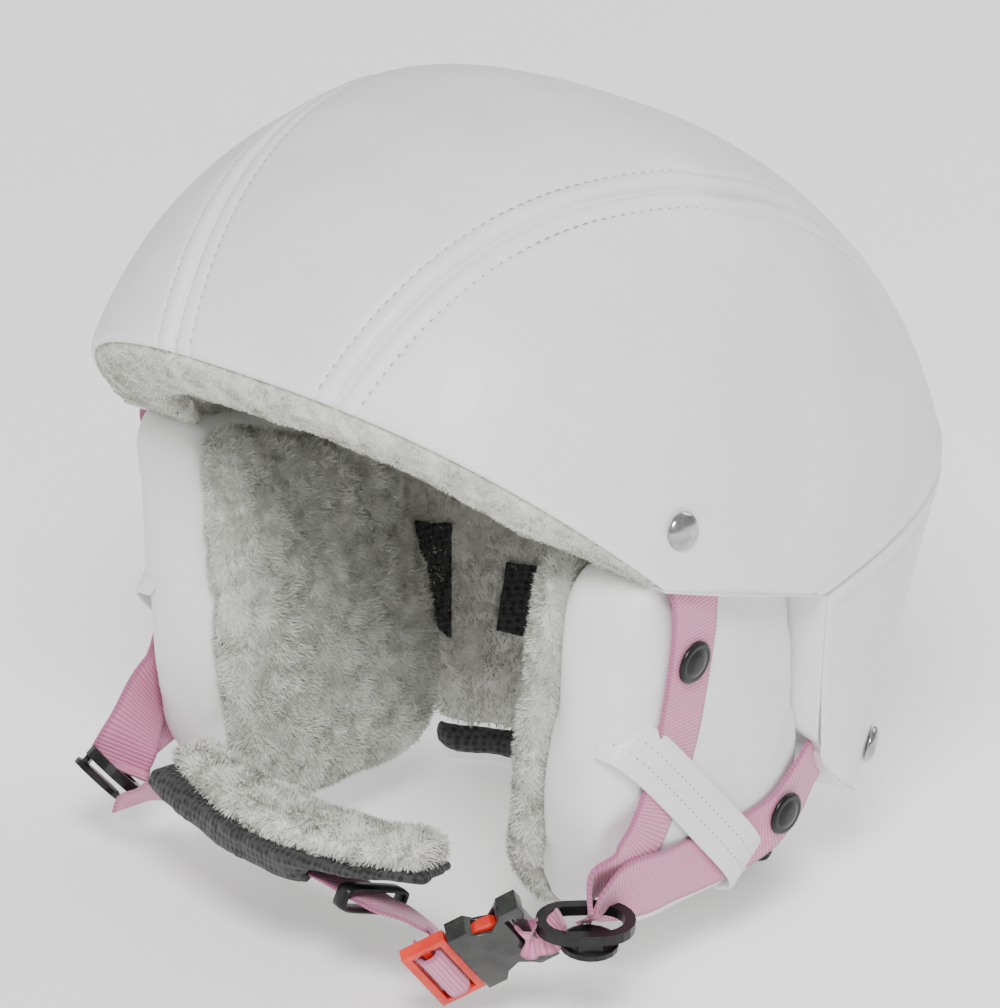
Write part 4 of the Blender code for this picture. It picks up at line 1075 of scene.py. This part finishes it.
def snap(node, body):
    """Press-stud cap: a rolled edge, a dished ring and a low dome."""
    middle, axis, low, high = axis_of(node)
    base = middle + axis * (low + PAD_PLUMP)
    tall = high - low
    profile = [(SNAP_R - 0.4, 0), (SNAP_R, 0.25), (SNAP_R, 0.8), (SNAP_R - 0.5, 1.35), (5.2, 1.55),
               (4.7, 1.35), (4.2, 1.5), (3.2, tall - 0.25), (1.8, tall - 0.05), (0, tall)]
    piece = make(node + "_moulded", *lathe(profile, base, axis), "black_plastic")
    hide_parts(node)
    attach(piece, body)


def rivets():
    for place in ("front", "rear"):
        for side in ("left", "right"):
            node = f"rivet_{place}_{side}"
            middle, axis, low, high = axis_of(node)
            top = middle + axis * high
            profile = [(2.3, low - high), (2.3, -2.6), (RIVET_R - 0.3, -2.6), (RIVET_R, -2.3),
                       (RIVET_R - 0.1, -1.9), (4.9, -1.2), (3.9, -0.6), (2.6, -0.2), (1.3, -0.03),
                       (0, 0)]
            piece = make(node + "_polished", *lathe(profile, top, axis, 48), "chrome")
            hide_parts(node)
            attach(piece, "helmet")


# ---- chin strap -----------------------------------------------------------------------------

def chin_piece():
    fleece_pad("chin_pile", ["chin_pad_fleece"], "chin_strap_right", 3.0, 3, 2, 240, 2.2, 51, 1.5,
               waves=((8, 0.8), (3, 0.5), (1.5, 0.25)))
    body = copy_of(["chin_pad_backing", "chin_pad_tunnel"], "chin_mesh_body", "black_fabric")
    remesh(body, 1.6, 8, 1)
    put_points(body, points_of(body) + normals_of(body) * 1.2)
    ruffle(body, ((12, 0.5), (2.2, 0.12)), 52)
    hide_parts("chin_pad_backing", "chin_pad_tunnel")
    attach(body, "chin_strap_right")


def chin_webbing():
    """Webbing from the right divider through the chin pad and the keeper, round the frame's
    bars; and the short loop between the left divider and the female body's end bar."""
    flat = (0.0, 0.78, -0.26)
    rows = [((-79.8, -61.8, -195.8), (-0.52, 0.73, -0.44)),
            ((-76.0, -62.8, -193.0), (-0.2, 0.8, -0.45)),
            ((-70, -64.0, -189.5), (0.1, 0.76, -0.36)), ((-57, -66.0, -180.6), (0.1, 0.72, -0.25)),
            ((-33, -73.0, -183.0), (0.05, 0.78, -0.22)), ((-4, -79.5, -183.2), (0.0, 0.8, -0.2)),
            ((10, -80.3, -183.5), (0.0, 0.8, -0.2)), (KEEPER_AT, flat),
            (KEEPER_AT + (6, -0.2, -0.6), flat)]
    piece = strap("webbing_chin_right", [p for p, _ in rows], [v for _, v in rows], width=CHIN_STRAP_W,
                  thick=CHIN_STRAP_T)
    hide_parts("strap_chin_right")
    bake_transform(piece)
    u, w = unit(BUCKLE_AXIS), unit(BUCKLE_WIDE)
    w = unit(w - (w @ u) * u)
    n = np.cross(w, u)
    mouth = BUCKLE_END - u * FEMALE_LEN
    back = mouth - u * MOUTH_GAP
    rows = [(KEEPER_AT + (2, -0.1, -0.2), flat), (KEEPER_AT + (9.0, -0.3, -0.9), flat),
            (KEEPER_AT + (18.5, 0.2, -2.4), unit(np.array(flat) + w * 0.5))]
    rows += [(back + u * a + n * b, w) for a, b in
             ((-6.2, -9.5), (-4.3, -5.8), (-3.9, -2.6), (-3.9, 1.6), (-4.7, 3.0), (-5.9, 3.5),
              (-7.8, 3.5), (-9.0, 3.0), (-9.8, 1.6), (-9.8, -2.6), (-10.2, -6.0))]
    piece = strap("webbing_chin_end", [p for p, _ in rows], [v for _, v in rows], width=CHIN_STRAP_W,
                  thick=CHIN_STRAP_T)
    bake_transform(piece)
    slot_at = mouth + u * 18.3
    rows = [(slot_at - n * 3.0, w), (slot_at + n * 1.0, w), (slot_at + u * 0.8 + n * 4.6, w),
            ((79.6, -71.8, -184.8), (0.3, 0.5, -0.8)), ((81.6, -69.4, -184.0), (0.5, 0.1, -0.75)),
            ((83.4, -67.2, -181.0), (0.66, -0.5, -0.5)), ((84.2, -66.2, -178.4), (0.72, -0.66, -0.1))]
    piece = strap("webbing_chin_left", [p for p, _ in rows], [v for _, v in rows], width=LOOP_WIDE,
                  thick=CHIN_STRAP_T)
    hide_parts("strap_chin_left")
    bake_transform(piece)


def keeper_loop():
    """Thin rubber loop round the two layers of the strap."""
    ahead = unit(np.array([15.5, -2.0, -2.0]))
    flat = unit(np.array([0.0, 0.78, -0.26]))
    flat = unit(flat - (flat @ ahead) * ahead)
    up = np.cross(ahead, flat)
    rings = []
    for t in np.linspace(0, 2 * math.pi, 64, endpoint=False):
        c, s = math.cos(t), math.sin(t)
        spot = (np.sign(c) * abs(c) ** 0.35, np.sign(s) * abs(s) ** 0.35)
        rings.append([KEEPER_AT + flat * spot[0] * (12.2 + deep) + up * spot[1] * (3.1 + deep)
                      + ahead * along
                      for along, deep in ((-2.6, 0.2), (-2.2, 0.9), (0, 1.05), (2.2, 0.9),
                                          (2.6, 0.2), (2.2, -0.25), (-2.2, -0.25))])
    piece = make("keeper_rubber", *loft(rings, closed=True), "black_plastic", "black_fabric")
    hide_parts("keeper_ring")
    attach(piece, "keeper_ring_slider")


def carry_rest():
    """Every CAD node gets the material of its slot; most are replaced by softer pieces later."""
    for item in frame["record"]["subparts"]:
        node = frame["nodes"][item["node"]]
        look = LOOKS[item["material_slot"]]
        for slot in node.material_slots:
            slot.material = look
        if not node.material_slots:
            node.data.materials.append(look)


aim_camera()
light_and_floor()
carry_rest()
shell()
linings()
ear_pads()
rivets()
for hand, turn in (("left", ONES), ("right", MIRROR)):
    pad_straps(hand, turn)
chin_piece()
chin_webbing()
keeper_loop()
bevelled("buckle_female", "buckle_body", "grey_plastic", "chin_strap_left", 0.7)
bevelled("buckle_male", "buckle_frame", "red_plastic", "buckle_male_slider", 0.6)
bevelled("buckle_prong_front", "prong_front_arm", "red_plastic", "prong_front", 0.3)
bevelled("buckle_prong_rear", "prong_rear_arm", "red_plastic", "prong_rear", 0.3)
